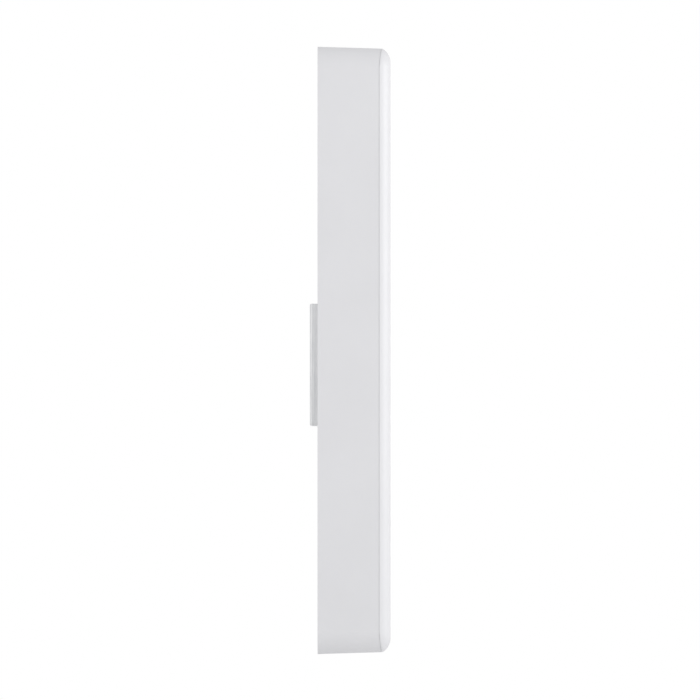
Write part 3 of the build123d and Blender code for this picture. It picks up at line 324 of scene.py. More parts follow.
def add(tree, kind, values=None, links=None, **settings):
    """Adds a node with its settings, its socket values and its links."""
    node = tree.nodes.new(kind)
    for key, value in settings.items():
        setattr(node, key, value)
    for key, value in (values or {}).items():
        node.inputs[key].default_value = value
    for key, socket in (links or {}).items():
        tree.links.new(socket, node.inputs[key])
    return node


def new_material(name):
    """An empty node material with its output, and object coordinates in metres."""
    material = bpy.data.materials.new(name)
    material.use_nodes = True
    tree = material.node_tree
    tree.nodes.clear()
    place = add(tree, "ShaderNodeTexCoord").outputs["Object"]
    return material, tree, place


def close(tree, shader):
    """Links a shader to the material's output."""
    add(tree, "ShaderNodeOutputMaterial", links={"Surface": shader.outputs[0]})


def noise(tree, place, size_mm, stretch=(1, 1, 1), detail=2.0, roughness=0.5):
    """Noise whose features are about size_mm across, stretched along chosen axes."""
    per_metre = 1 / (size_mm * MM)
    mapped = add(
        tree, "ShaderNodeMapping", {"Scale": [per_metre / s for s in stretch]}, {"Vector": place}
    )
    made = add(
        tree, "ShaderNodeTexNoise", {"Scale": 1.0, "Detail": detail, "Roughness": roughness},
        {"Vector": mapped.outputs[0]},
    )
    return made.outputs["Fac"]


def between(tree, factor, low, high):
    """Spreads a 0-1 pattern over a range of numbers."""
    return add(
        tree, "ShaderNodeMapRange",
        {"From Min": NOISE_LOW, "From Max": NOISE_HIGH, "To Min": low, "To Max": high},
        {"Value": factor},
    ).outputs[0]


def tinted(tree, factor, dark, light):
    """Blends two hex colours by a pattern."""
    ramp = add(tree, "ShaderNodeValToRGB", links={"Fac": factor})
    first, last = ramp.color_ramp.elements
    first.position = NOISE_LOW
    first.color = linear(dark)
    last.position = NOISE_HIGH
    last.color = linear(light)
    return ramp.outputs[0]


def raised(tree, height, depth_mm, strength=1.0, below=None):
    """Bump of a real depth; a second bump can lie below it."""
    links = {"Height": height}
    if below is not None:
        links["Normal"] = below
    return add(
        tree, "ShaderNodeBump", {"Strength": strength, "Distance": depth_mm * MM}, links
    ).outputs[0]


# ---------------------------------------------------------------- materials
def satin_white_paint():
    """Two-pack satin paint on moulded plastic: an even cool white with a fine orange peel
    and the faintest cloudiness, so that highlights stay soft."""
    material, tree, place = new_material("satin_white_paint")
    cloud = noise(tree, place, 180, detail=3)
    peel = noise(tree, place, 1.6, detail=1)
    grit = noise(tree, place, 0.35, detail=2)
    bump = raised(tree, peel, 0.006, 0.6, raised(tree, grit, 0.0015, 0.5))
    close(tree, add(
        tree, "ShaderNodeBsdfPrincipled",
        {"IOR": 1.48, "Coat Weight": 0.12, "Coat Roughness": 0.25, "Coat IOR": 1.45},
        {
            "Base Color": tinted(tree, cloud, "#E6E6E8", "#E9E9EB"),
            "Roughness": between(tree, peel, 0.38, 0.46),
            "Normal": bump,
        },
    ))
    return material


def galvanised_sheet():
    """Galvanised steel strip: pale zinc with the mill's fine grain running up and down, and a
    soft cloudiness where the zinc set at different speeds."""
    material, tree, place = new_material("galvanised_steel_sheet")
    grain = noise(tree, place, 2.6, stretch=(1, 1, 50), detail=3)
    cloud = noise(tree, place, 14, stretch=(1, 1, 2), detail=3)
    pebble = noise(tree, place, 0.6, detail=2)
    bump = raised(tree, grain, 0.012, 0.7, raised(tree, pebble, 0.004, 0.5))
    mixed = add(
        tree, "ShaderNodeMix", {0: 0.3}, {2: grain, 3: cloud}, data_type="FLOAT"
    ).outputs[0]
    close(tree, add(
        tree, "ShaderNodeBsdfPrincipled", {"Metallic": 1.0},
        {
            "Base Color": tinted(tree, mixed, "#DCDDDF", "#FAFAFA"),
            "Roughness": between(tree, cloud, 0.38, 0.52),
            "Normal": bump,
        },
    ))
    return material


def cast_aluminium():
    """Die-cast and bead-blasted: dull silver grey, pocked by the blasting."""
    material, tree, place = new_material("cast_aluminium")
    pock = noise(tree, place, 0.7, detail=3)
    flow = noise(tree, place, 35, detail=4)
    close(tree, add(
        tree, "ShaderNodeBsdfPrincipled", {"Metallic": 0.85},
        {
            "Base Color": tinted(tree, flow, "#ADAFB1", "#B2B4B5"),
            "Roughness": between(tree, pock, 0.48, 0.66),
            "Normal": raised(tree, pock, 0.03, 0.8),
        },
    ))
    return material


def mill_finish_sheet():
    """Rolled aluminium sheet: bright, with long fine rolling lines up and down."""
    material, tree, place = new_material("mill_finish_aluminium_sheet")
    line = noise(tree, place, 0.8, stretch=(1, 1, 60), detail=2)
    haze = noise(tree, place, 40, detail=3)
    close(tree, add(
        tree, "ShaderNodeBsdfPrincipled", {"Metallic": 1.0, "Anisotropic": 0.35},
        {
            "Base Color": tinted(tree, haze, "#C7C9CB", "#CCCECF"),
            "Roughness": between(tree, line, 0.3, 0.42),
            "Normal": raised(tree, line, 0.004, 0.6),
        },
    ))
    return material


def black_anodised():
    """Extruded and anodised black: matt, with faint drawing lines along the fins."""
    material, tree, place = new_material("black_anodised_aluminium")
    line = noise(tree, place, 0.6, stretch=(1, 1, 80), detail=1)
    close(tree, add(
        tree, "ShaderNodeBsdfPrincipled", {"Metallic": 0.6},
        {
            "Base Color": tinted(tree, line, "#1B1B1D", "#232326"),
            "Roughness": between(tree, line, 0.42, 0.55),
            "Normal": raised(tree, line, 0.005, 0.5),
        },
    ))
    return material


def zinc_plate():
    """Bright zinc on pressed steel: pale, with a bluish bloom in patches."""
    material, tree, place = new_material("zinc_plated_steel")
    bloom = noise(tree, place, 9, detail=3)
    grain = noise(tree, place, 0.4, detail=2)
    close(tree, add(
        tree, "ShaderNodeBsdfPrincipled", {"Metallic": 1.0},
        {
            "Base Color": tinted(tree, bloom, "#B4B8BC", "#C8C8C2"),
            "Roughness": between(tree, bloom, 0.28, 0.42),
            "Normal": raised(tree, grain, 0.004, 0.6),
        },
    ))
    return material


def stainless():
    """Cold-headed stainless screws: clean grey metal with a fine random grain all over."""
    material, tree, place = new_material("stainless_steel")
    grain = noise(tree, place, 0.3, detail=2)
    close(tree, add(
        tree, "ShaderNodeBsdfPrincipled", {"Metallic": 1.0},
        {
            "Base Color": tinted(tree, grain, "#A9A8A6", "#B9B8B6"),
            "Roughness": between(tree, grain, 0.25, 0.38),
            "Normal": raised(tree, grain, 0.003, 0.5),
        },
    ))
    return material


def spring_steel():
    """Blued spring steel: dark, with straw and blue temper colours."""
    material, tree, place = new_material("blued_spring_steel")
    temper = noise(tree, place, 4, detail=3)
    close(tree, add(
        tree, "ShaderNodeBsdfPrincipled", {"Metallic": 1.0},
        {
            "Base Color": tinted(tree, temper, "#3A3D46", "#55524E"),
            "Roughness": between(tree, temper, 0.25, 0.4),
        },
    ))
    return material


def foam_rubber():
    """Expanded EPDM gasket: black and dull with open pores on its cut face."""
    material, tree, place = new_material("epdm_foam_rubber")
    pores = noise(tree, place, 0.5, detail=3, roughness=0.7)
    close(tree, add(
        tree, "ShaderNodeBsdfPrincipled", {"IOR": 1.5},
        {
            "Base Color": tinted(tree, pores, "#0E0E0E", "#1C1C1C"),
            "Roughness": between(tree, pores, 0.8, 0.95),
            "Normal": raised(tree, pores, 0.05, 0.8),
        },
    ))
    return material


def moulded(name, dark, light, rough=(0.4, 0.5), grain_mm=0.45, depth_mm=0.01):
    """Injection-moulded plastic straight from a spark-eroded tool: even colour, fine grain."""
    material, tree, place = new_material(name)
    grain = noise(tree, place, grain_mm, detail=2)
    flow = noise(tree, place, 25, detail=2)
    close(tree, add(
        tree, "ShaderNodeBsdfPrincipled", {"IOR": 1.53},
        {
            "Base Color": tinted(tree, flow, dark, light),
            "Roughness": between(tree, grain, *rough),
            "Normal": raised(tree, grain, depth_mm, 0.7),
        },
    ))
    return material


def polished_copper():
    """Punched copper bar: warm, with slight tarnish clouds."""
    material, tree, place = new_material("copper_bar")
    tarnish = noise(tree, place, 12, detail=4)
    close(tree, add(
        tree, "ShaderNodeBsdfPrincipled", {"Metallic": 1.0},
        {
            "Base Color": tinted(tree, tarnish, "#B4693F", "#D98F63"),
            "Roughness": between(tree, tarnish, 0.25, 0.4),
        },
    ))
    return material


def solder_mask():
    """Green solder mask over copper tracks: glossy, with raised tracks on a grid."""
    material, tree, place = new_material("solder_mask_on_glass_epoxy")
    tracks_per_metre = 160
    mapped = add(
        tree, "ShaderNodeMapping", {"Scale": [tracks_per_metre] * 3}, {"Vector": place}
    )
    tracks = add(
        tree, "ShaderNodeTexBrick",
        {
            "Color1": (0, 0, 0, 1), "Color2": (0.4, 0.4, 0.4, 1), "Mortar": (1, 1, 1, 1),
            "Scale": 1.0, "Mortar Size": 0.08,
        },
        {"Vector": mapped.outputs[0]},
    )
    close(tree, add(
        tree, "ShaderNodeBsdfPrincipled", {"IOR": 1.55, "Roughness": 0.28},
        {
            "Base Color": tinted(tree, tracks.outputs["Fac"], "#0B3D22", "#1B6B3C"),
            "Normal": raised(tree, tracks.outputs["Fac"], 0.035, 0.6),
        },
    ))
    return material


def smoked_acrylic():
    """Polished smoked acrylic: near black, very smooth, with faint polishing swirls."""
    material, tree, place = new_material("smoked_acrylic")
    swirl = noise(tree, place, 3, detail=4)
    close(tree, add(
        tree, "ShaderNodeBsdfPrincipled", {"IOR": 1.49, "Coat Weight": 0.4, "Coat Roughness": 0.05},
        {
            "Base Color": tinted(tree, swirl, "#101114", "#17181B"),
            "Roughness": between(tree, swirl, 0.08, 0.16),
        },
    ))
    return material


def lit_light_guide():
    """Frosted acrylic light guide with green lamps behind it: milky, brightest over each lamp."""
    material, tree, place = new_material("frosted_acrylic_light_guide")
    frost = noise(tree, place, 0.5, detail=2)
    lamps_per_metre = 66.7
    one_band = 0.314  # the wave texture's scale at which a band is one unit tall
    mapped = add(
        tree, "ShaderNodeMapping", {"Scale": (1, 1, lamps_per_metre)}, {"Vector": place}
    )
    lamps = add(
        tree, "ShaderNodeTexWave", {"Scale": one_band, "Distortion": 0.0},
        {"Vector": mapped.outputs[0]}, bands_direction="Z",
    )
    close(tree, add(
        tree, "ShaderNodeBsdfPrincipled", {"IOR": 1.49, "Emission Strength": 0.9},
        {
            "Base Color": tinted(tree, frost, "#C9D6CF", "#DDE6E0"),
            "Roughness": between(tree, frost, 0.35, 0.5),
            "Emission Color": tinted(tree, lamps.outputs["Fac"], "#3E9E68", "#7FD9A4"),
        },
    ))
    return material


def shrink_wrap():
    """Blue insulating film heat-shrunk round the cell cans: glossy with slight wrinkles."""
    material, tree, place = new_material("heat_shrink_film")
    wrinkle = noise(tree, place, 6, detail=2)
    close(tree, add(
        tree, "ShaderNodeBsdfPrincipled", {"IOR": 1.5, "Roughness": 0.25},
        {
            "Base Color": tinted(tree, wrinkle, "#1E4A86", "#2A5EA6"),
            "Normal": raised(tree, wrinkle, 0.15, 0.6),
        },
    ))
    return material


def cable_jacket(name, dark, light):
    """Extruded insulation: smooth, slightly waxy, with faint draw marks."""
    material, tree, place = new_material(name)
    draw = noise(tree, place, 1.2, detail=2)
    close(tree, add(
        tree, "ShaderNodeBsdfPrincipled", {"IOR": 1.5},
        {
            "Base Color": tinted(tree, draw, dark, light),
            "Roughness": between(tree, draw, 0.35, 0.5),
        },
    ))
    return material


white_paint = satin_white_paint()
galvanised = galvanised_sheet()
casting = cast_aluminium()
sheet_metal = mill_finish_sheet()
anodised = black_anodised()
zinc = zinc_plate()
screw_steel = stainless()
spring = spring_steel()
foam = foam_rubber()
copper = polished_copper()
board = solder_mask()
acrylic = smoked_acrylic()
light_guide = lit_light_guide()
film = shrink_wrap()
black_nylon = moulded("glass_filled_nylon_black", "#141415", "#1B1B1C", (0.45, 0.6), 0.5, 0.015)
black_epoxy = moulded("moulded_epoxy_black", "#161617", "#1E1E1F", (0.5, 0.65))
box_plastic = moulded("polycarbonate_dark_grey", "#4C4E50", "#565859", (0.42, 0.55), 0.6, 0.015)
block_plastic = moulded("polyamide_light_grey", "#9B9D9E", "#A8AAAB", (0.4, 0.52))
lever_plastic = moulded("polyamide_orange", "#D8661A", "#E67A2A", (0.35, 0.45))
breaker_plastic = moulded("thermoset_off_white", "#C9C8C3", "#D6D5D1", (0.4, 0.5))
pad_rubber = moulded("silicone_gap_pad", "#8094AE", "#94A7BF", (0.7, 0.85))
label_film = moulded("printed_polyester_label", "#E9E9E6", "#F1F1EF", (0.3, 0.4), 2.0, 0.002)
ferrite = moulded("sintered_ferrite", "#2A2A2B", "#353536", (0.6, 0.8), 0.4, 0.02)
orange_jacket = cable_jacket("silicone_cable_orange", "#C64F12", "#DB6322")
grey_jacket = cable_jacket("pvc_wire_grey", "#3A3A3C", "#47474A")

material_of_slot = {
    "white_shell": white_paint, "bracket_steel": galvanised, "cast_aluminium": casting,
    "sheet_aluminium": sheet_metal, "extruded_sink": anodised, "zinc_steel": zinc,
    "stainless": screw_steel, "spring_steel": spring, "gasket_rubber": foam, "cell_case": film,
    "terminal_metal": sheet_metal, "copper": copper, "frame_plastic": black_nylon,
    "board_green": board, "thermal_pad": pad_rubber, "component_black": black_epoxy,
    "ferrite": ferrite, "winding": copper, "cable_insulation": orange_jacket,
    "wire_insulation": grey_jacket, "fan_plastic": black_nylon, "box_plastic": box_plastic,
    "block_plastic": block_plastic, "lever_plastic": lever_plastic,
    "breaker_plastic": breaker_plastic, "toggle_plastic": black_nylon, "panel_plastic": acrylic,
    "switch_plastic": black_epoxy, "light_guide": light_guide,
}
bodies = frame["record"]["behaviour"]["bodies"]
body_of = {node: body for body, nodes in bodies.items() for node in nodes}
for node, thing in frame["nodes"].items():
    thing.data.materials.clear()
    thing.data.materials.append(material_of_slot[slot_of[node]])


# ---------------------------------------------------------------- front cover
# Positions and sizes given to at() and around() are in millimetres.
POST_X = 366.9
POST_LEVEL = 564.7
POST_DEPTH = 141
RIB_DEPTH = 150
SIDE_POSTS = [(side * POST_X, w) for side in (-1, 1) for w in (-460, -190, 92, 330, 505)]
END_POSTS = [(x, side * POST_LEVEL) for side in (-1, 1) for x in (-290, -60, 230)]


def make_front_cover():
    """Moulded cover: a thin shell with a lip that goes into the shroud, sixteen clip posts
    round its rim and a grid of stiffening ribs inside its face."""
    lip_start, lip_outer, lip_inner = 128 * MM, 2.9 * MM, 4.1 * MM
    cover = cross(cover_form(0), seam_side(SEAM_GAP / 2, True))
    weld(cover, cover_form(lip_outer, lip_start))
    hollow = cross(cover_form(SHELL), seam_side(4.2 * MM, True))
    cut(cover, weld(hollow, cover_form(lip_inner)))
    posts = blocks([around(x, POST_DEPTH, w, (2.2, 27.6, 16)) for x, w in SIDE_POSTS])
    weld(posts, blocks([around(x, POST_DEPTH, w, (16, 27.6, 2.2)) for x, w in END_POSTS]))
    weld(cover, cross(posts, cover_form(1.2 * MM)))
    upright = [around(x, RIB_DEPTH, 0, (2, 3, 1090)) for x in spaced(-330, 330, 7)]
    level = [around(0, RIB_DEPTH, w, (695, 3, 2)) for w in spaced(-550, 550, 11)]
    weld(cover, blocks(upright), blocks(level))
    cover.name = "front_cover_shell"
    return break_edges(cover, 0.25 * MM, 2, 40)


stand_for(make_front_cover(), "cover", white_paint, "front_cover")

# ---------------------------------------------------------------- side shroud
EAR_X = 358
EAR_LEVELS = (441, 208, -25)
EARS = [(side * EAR_X, w) for w in EAR_LEVELS for side in (-1, 1)] + [(-EAR_X, -362)]
TOP_EARS = [(-150, 554), (150, 554)]
EAR_DEPTH = 124
FAN_XS = (-190, 70)
CONDUITS = ((319, 50), (319, 98))
RIM_WIDTH = 10 * MM
SIDE_X = 376
BOX_DEPTH = 75


def turned_in_rim(start, thickness, width):
    """A flat ring that runs round the inside of the shroud."""
    ring = drafted_form(1.2 * MM, start, start + thickness)
    return cut(ring, drafted_form(width, start - MM, start + thickness + MM))


def make_side_shroud():
    """Tapered tube with turned-in rims, screw ears, intake slots and conduit holes in its
    floor, and openings for the wiring hatch and the control panel in its right side."""
    shroud = drafted_form(0, REAR, FRONT - 10 * MM, "side_shroud_shell")
    cut(shroud, drafted_form(SHELL, REAR - MM, FRONT - 9 * MM), seam_side(-SEAM_GAP / 2, True))
    front_rim = turned_in_rim(122 * MM, SHELL, RIM_WIDTH)
    weld(shroud, turned_in_rim(REAR, SHELL, RIM_WIDTH), front_rim)
    outward = 4.5
    ears = [
        around(x * (EAR_X + outward) / EAR_X, EAR_DEPTH, w, (19, 4, 26)) for x, w in EARS
    ]
    ears += [around(x, EAR_DEPTH, w + outward, (26, 4, 19)) for x, w in TOP_EARS]
    weld(shroud, blocks(ears))
    ear_holes = [
        (at(x, EAR_DEPTH - 4, w), at(x, EAR_DEPTH + 4, w)) for x, w in EARS + TOP_EARS
    ]
    cut(shroud, rods(ear_holes, 2.1 * MM, 20))
    slots = [
        around(x, BOX_DEPTH + row, -572, (70, 5, 24))
        for x in FAN_XS for row in spaced(-35, 35, 8)
    ]
    cut(shroud, blocks(slots, 2.49 * MM, axis=2))
    conduit_holes = [(at(x, d, -590), at(x, d, -560)) for x, d in CONDUITS]
    cut(shroud, rods(conduit_holes, 19 * MM, 64))
    hatch = around(SIDE_X, BOX_DEPTH, -330, (20, 92, 340))
    panel = around(SIDE_X, BOX_DEPTH, -15, (20, 34.6, 236.6))
    cut(shroud, blocks([hatch], 12 * MM, axis=0, segments=16))
    cut(shroud, blocks([panel], 17.29 * MM, axis=0, segments=20))
    return break_edges(shroud, 0.25 * MM, 2, 40)


stand_for(make_side_shroud(), "enclosure", white_paint, "side_shroud")

# ---------------------------------------------------------------- breaker and terminal block
POLES = (-9 * MM, 9 * MM)
CHEEK_DEPTHS = (39, 57, 75, 93, 111)
JOINT_DEPTHS = CHEEK_DEPTHS[1:-1]
LEVER_DEPTHS = (48, 66, 84, 102)
LEVER_AXIS_X = 310.4 * MM
LEVER_AXIS_Z = CENTRE_Z - 206 * MM


def from_point(origin, low, high):
    """Corners of a block given in millimetres from a point."""
    return origin + Vector(low) * MM, origin + Vector(high) * MM


def slotted_screws(points, radius, height, slot, name):
    """Round screw heads standing out to the right from points, with an upright slot each."""
    outward = Vector((height, 0, 0))
    heads = rods([(point, point + outward) for point in points], radius, 24, name)
    half = Vector((slot, slot / 2, radius * 1.2))
    grooves = [(point + outward - half, point + outward + half) for point in points]
    return cut(heads, blocks(grooves))


def breaker_seam(low, high):
    """A fine groove all round the breaker, where its two pole housings meet."""
    middle_y, half, deep = (low.y + high.y) / 2, 0.25 * MM, 0.6 * MM
    slice_low = (low.x - MM, middle_y - half, low.z - MM)
    slice_high = (high.x + MM, middle_y + half, high.z + MM)
    core_low = (low.x + deep, low.y, low.z + deep)
    core_high = (high.x - 0.5 * MM, high.y, high.z - deep)
    return cut(blocks([(slice_low, slice_high)]), blocks([(core_low, core_high)]))


def breaker_entries(low, high):
    """Round wire entries in both ends, one to a pole."""
    entries = []
    for pole in POLES:
        for level, inward in ((low.z, 1), (high.z, -1)):
            mouth = Vector((low.x + 26 * MM, (low.y + high.y) / 2 + pole, level))
            over = Vector((0, 0, inward * MM))
            entries.append((mouth - over, mouth + over * 9))
    return rods(entries, 4.2 * MM, 28)


def make_circuit_breaker():
    """Two-pole rail breaker: stepped nose, window round the handles, screw wells and wire
    entries at both ends, a seam between the poles, vents in the cheeks and a blank label."""
    low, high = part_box("circuit_breaker")
    middle_y, middle_z = (low.y + high.y) / 2, (low.z + high.z) / 2
    face = Vector((high.x, middle_y, middle_z))
    shoulder = high.x - 6 * MM
    nose_half = 22 * MM
    body = blocks(
        [(low, (shoulder, high.y, high.z))], 0.9 * MM, axis=0, segments=3, name="breaker_body"
    )
    nose_low = (shoulder - 2 * MM, low.y, middle_z - nose_half)
    nose_high = (high.x, high.y, middle_z + nose_half)
    weld(body, blocks([(nose_low, nose_high)], 0.9 * MM, axis=1, segments=3))
    window = from_point(face, (-12, -14, -13), (1, 14, 13))
    cut(body, blocks([window], 1.2 * MM, axis=0, segments=3), breaker_seam(low, high))

    screw_level = 31 * MM
    seats = [
        Vector((shoulder, middle_y + pole, middle_z + level))
        for pole in POLES for level in (-screw_level, screw_level)
    ]
    well_floors = [seat - Vector((7 * MM, 0, 0)) for seat in seats]
    wells = [(bottom, bottom + Vector((8 * MM, 0, 0))) for bottom in well_floors]
    cut(body, rods(wells, 3.6 * MM, 28), breaker_entries(low, high))
    vents = [
        from_point(Vector((low.x, y, middle_z)), (x, -0.8, -8), (x + 1.2, 0.8, 8))
        for x in spaced(14, 32, 7) for y in (low.y, high.y)
    ]
    label_pocket = from_point(face, (-0.4, -14.2, 14.3), (1, 14.2, 20.7))
    cut(body, blocks(vents), blocks([label_pocket], 0.8 * MM, axis=0, segments=3))
    stand_for(break_edges(body, 0.3 * MM, 2, 38), "enclosure", breaker_plastic, "circuit_breaker")

    feet = [bottom - Vector((0.2 * MM, 0, 0)) for bottom in well_floors]
    screws = slotted_screws(feet, 3.3 * MM, 3.8 * MM, 0.9 * MM, "breaker_screws")
    attach(break_edges(screws, 0.12 * MM, 1, 40), "enclosure", zinc)
    label_block = from_point(face, (-0.4, -14, 14.5), (-0.1, 14, 20.5))
    label = blocks([label_block], 0.6 * MM, axis=0, segments=3, name="breaker_label")
    attach(label, "enclosure", label_film)


def wire_funnels(x, ys, bottom):
    """Cones that open the mouths of the wire entries."""
    shape = bmesh.new()
    for y in ys:
        made = bmesh.ops.create_cone(
            shape, cap_ends=True, segments=32, radius1=6.4 * MM, radius2=3.5 * MM, depth=4 * MM
        )["verts"]
        bmesh.ops.translate(shape, vec=(x, y, bottom + 1.5 * MM), verts=made)
    return finished(shape, "funnels")


def make_terminal_block():
    """Four lever terminals side by side: cheeks between the levers, funnelled wire entries
    below, a round test port over each lever and a groove where the housings meet."""
    low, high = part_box("terminal_block")
    front = low.x + 30 * MM
    wire_x = low.x + 15 * MM
    wire_ys = [-depth * MM for depth in LEVER_DEPTHS]
    body = blocks(
        [(low, (front, high.y, high.z))], 1.2 * MM, axis=0, segments=3, name="terminal_housing"
    )
    half_cheek = 1.6 * MM
    cheeks = [
        ((front - 2 * MM, -depth * MM - half_cheek, LEVER_AXIS_Z - 6 * MM),
         (high.x, -depth * MM + half_cheek, LEVER_AXIS_Z + 5.8 * MM))
        for depth in CHEEK_DEPTHS
    ]
    weld(body, blocks(cheeks, 1.4 * MM, axis=1, segments=4))
    entries = [((wire_x, y, low.z - MM), (wire_x, y, low.z + 20 * MM)) for y in wire_ys]
    cut(body, rods(entries, 3.6 * MM, 32), wire_funnels(wire_x, wire_ys, low.z))
    port_x = wire_x + 6 * MM
    ports = [((port_x, y, high.z + MM), (port_x, y, high.z - 5 * MM)) for y in wire_ys]
    cut(body, rods(ports, 1.5 * MM, 20))

    groove, half_groove = 0.8 * MM, 0.3 * MM
    spans = (
        ((low.x + MM, low.z - MM), (front + MM, low.z + groove)),
        ((low.x + MM, high.z - groove), (front - 2 * MM, high.z + MM)),
        ((front - groove, low.z - MM), (front + MM, LEVER_AXIS_Z - 6.5 * MM)),
    )
    joints = [
        ((x_low, -depth * MM - half_groove, z_low), (x_high, -depth * MM + half_groove, z_high))
        for (x_low, z_low), (x_high, z_high) in spans for depth in JOINT_DEPTHS
    ]
    cut(body, blocks(joints))
    stand_for(break_edges(body, 0.3 * MM, 2, 38), "enclosure", block_plastic, "terminal_block")


def make_lever(number):
    """A barrel with a flat thumb plate, which carries a lip and three grip ribs."""
    node = f"terminal_lever_{number}"
    low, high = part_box(node)
    x, z = LEVER_AXIS_X, LEVER_AXIS_Z
    tip = z - 30 * MM
    lever = rods([((x, low.y, z), (x, high.y, z))], 2.9 * MM, 32, node + "_moulding")
    plate = ((x - 2.4 * MM, low.y, tip), (x + 1.6 * MM, high.y, z))
    lip = ((x - 1.2 * MM, low.y, tip), (high.x, high.y, tip + 4 * MM))
    weld(lever, blocks([plate], 1.2 * MM, axis=0, segments=4))
    weld(lever, blocks([lip], 1.1 * MM, axis=1, segments=4))
    margin, half_rib = 2 * MM, 0.5 * MM
    ribs = [
        ((x + 1.2 * MM, low.y + margin, z - down * MM - half_rib),
         (x + 2.2 * MM, high.y - margin, z - down * MM + half_rib))
        for down in (15, 18, 21)
    ]
    weld(lever, blocks(ribs, 0.35 * MM, axis=1, segments=2))
    stand_for(break_edges(lever, 0.3 * MM, 2, 38), f"lever_{number}", lever_plastic, node)


def make_din_rail():
    """The rail's own section, with a fixing slot punched through its web near each end."""
    rail = welded_copy("din_rail")
    low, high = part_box("din_rail")
    middle_z = (low.z + high.z) / 2
    slots = [
        from_point(Vector((low.x, y, middle_z)), (-1, -6.2, -2.6), (2, 6.2, 2.6))
        for y in (low.y + 10 * MM, high.y - 10 * MM)
    ]
    cut(rail, blocks(slots, 2.59 * MM, axis=0, segments=8))
    stand_for(break_edges(rail, 0.15 * MM, 1, 40), "enclosure", zinc, "din_rail")


make_circuit_breaker()
make_terminal_block()
for lever_number in (1, 2, 3, 4):
    make_lever(lever_number)
make_din_rail()

# ---------------------------------------------------------------- pieces finished from their CAD shape
# node: width of the broken edge in mm, segments, and the least angle that counts as an edge
FINISHES = {
    "wall_bracket": (0.35, 2, 35), "hanging_lugs": (0.3, 2, 35), "lug_screws": (0.15, 1, 40),
    "rear_chassis": (0.6, 2, 35), "rear_panel": (0.2, 1, 40), "chassis_lid": (0.25, 2, 35),
    "heat_sink": (0.3, 2, 40), "wiring_box": (0.5, 2, 35), "gland_plate": (0.5, 2, 35),
    "box_gasket": (0.4, 2, 40), "wiring_cover": (0.25, 2, 38), "wiring_cover_screws": (0.15, 1, 40),
    "control_panel": (0.35, 3, 38), "status_light_guide": (0.25, 2, 40), "rocker": (0.8, 3, 12),
    "rocker_housing": (0.3, 2, 40), "reset_button": (0.25, 2, 40), "breaker_toggle": (0.4, 2, 38),
    "fan_tray": (0.25, 2, 38), "fan_frames": (0.4, 2, 38), "fan_rotor_left": (0.25, 1, 40),
    "fan_rotor_right": (0.25, 1, 40), "conduit_plug": (0.5, 2, 40), "cover_clips": (0.12, 1, 40),
}
for node, (edge_mm, segments, angle) in FINISHES.items():
    smoothed = break_edges(welded_copy(node), edge_mm * MM, segments, angle)
    stand_for(smoothed, body_of[node], material_of_slot[slot_of[node]], node)

# ---------------------------------------------------------------- floor, light and camera
FLOOR = CENTRE_Z - 1.2
FLOOR_RADIUS = 4.2
SIDE_LIGHT = 0.735
TOP_LIGHT = 0.7
SOFT_WHITE = (0.99, 0.99, 1, 1)


def make_floor():
    """A round pale studio floor."""
    material, tree, place = new_material("matt_studio_floor")
    cloud = noise(tree, place, 400, detail=3)
    close(tree, add(
        tree, "ShaderNodeBsdfPrincipled", {"Roughness": 0.9},
        {"Base Color": tinted(tree, cloud, "#EEEEEE", "#F0F0F0")},
    ))
    shape = bmesh.new()
    bmesh.ops.create_circle(shape, cap_ends=True, segments=96, radius=FLOOR_RADIUS)
    bmesh.ops.translate(shape, vec=(0, 0, FLOOR), verts=shape.verts)
    floor = finished(shape, "studio_floor")
    floor.data.materials.append(material)


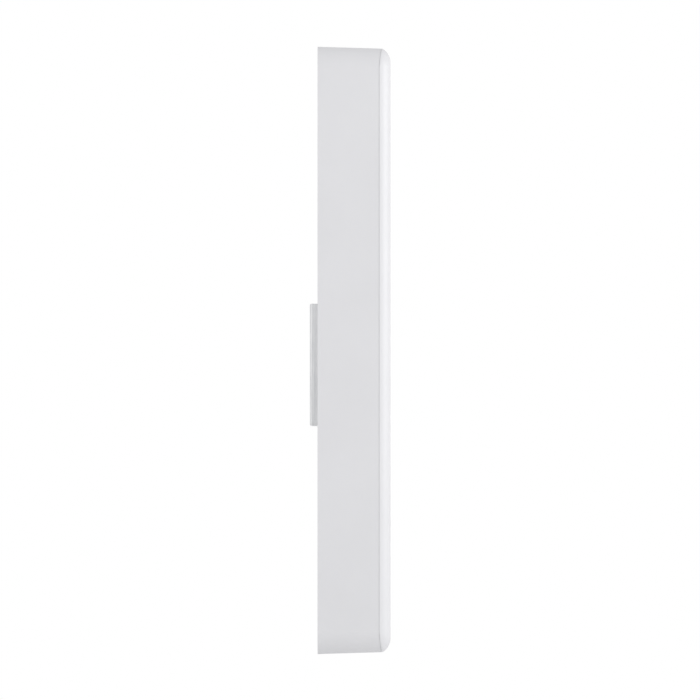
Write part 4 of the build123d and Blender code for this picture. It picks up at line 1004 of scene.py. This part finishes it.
def make_world():
    """White surroundings, a little dimmer as a light source than they look, and dimmer
    overhead than at the sides."""
    world = bpy.data.worlds.new("studio")
    bpy.context.scene.world = world
    world.use_nodes = True
    tree = world.node_tree
    tree.nodes.clear()
    seen = add(tree, "ShaderNodeBackground", {"Color": (1, 1, 1, 1), "Strength": 1.0})
    up = add(tree, "ShaderNodeTexCoord").outputs["Generated"]
    height = add(tree, "ShaderNodeSeparateXYZ", links={0: up}).outputs["Z"]
    dimming = add(
        tree, "ShaderNodeMapRange",
        {"From Min": 0.0, "From Max": 0.9, "To Min": SIDE_LIGHT, "To Max": TOP_LIGHT},
        {"Value": height}, interpolation_type="SMOOTHSTEP",
    ).outputs[0]
    light = add(tree, "ShaderNodeBackground", {"Color": SOFT_WHITE}, {"Strength": dimming})
    path = add(tree, "ShaderNodeLightPath")
    mixed = add(tree, "ShaderNodeMixShader")
    tree.links.new(path.outputs["Is Camera Ray"], mixed.inputs[0])
    tree.links.new(light.outputs[0], mixed.inputs[1])
    tree.links.new(seen.outputs[0], mixed.inputs[2])
    add(tree, "ShaderNodeOutputWorld", links={"Surface": mixed.outputs[0]})


def softbox(name, place, aim, size, watts):
    """A square area lamp at a place, aimed at a point and not itself seen."""
    lamp = bpy.data.lights.new(name, "AREA")
    lamp.shape = "SQUARE"
    lamp.size = size
    lamp.energy = watts
    box = bpy.data.objects.new(name, lamp)
    bpy.context.scene.collection.objects.link(box)
    box.location = place
    box.rotation_euler = (Vector(aim) - Vector(place)).to_track_quat("-Z", "Y").to_euler()
    box.visible_camera = False


def make_camera():
    """Level with the middle of the unit, square to its left side."""
    distance = 10.0
    view_width = 1.3198
    middle_depth = 76.3 * MM
    eye_level = CENTRE_Z + 0.8 * MM
    data = bpy.data.cameras.new("camera")
    data.sensor_width = 36
    data.lens = 36 * distance / view_width
    camera = bpy.data.objects.new("camera", data)
    bpy.context.scene.collection.objects.link(camera)
    camera.location = (-HALF_WIDTH - distance, -middle_depth, eye_level)
    camera.rotation_euler = (pi / 2, 0, -pi / 2)
    bpy.context.scene.camera = camera


make_floor()
make_world()
softbox("front_softbox", (-0.9, -3.5, 0.7), (0, -0.1, CENTRE_Z), 2.2, 45)
softbox("side_softbox", (-3.4, 1.4, 0.9), (-0.3, 0, CENTRE_Z + 0.3), 1.3, 15)
make_camera()
bpy.context.scene.view_settings.view_transform = "Standard"
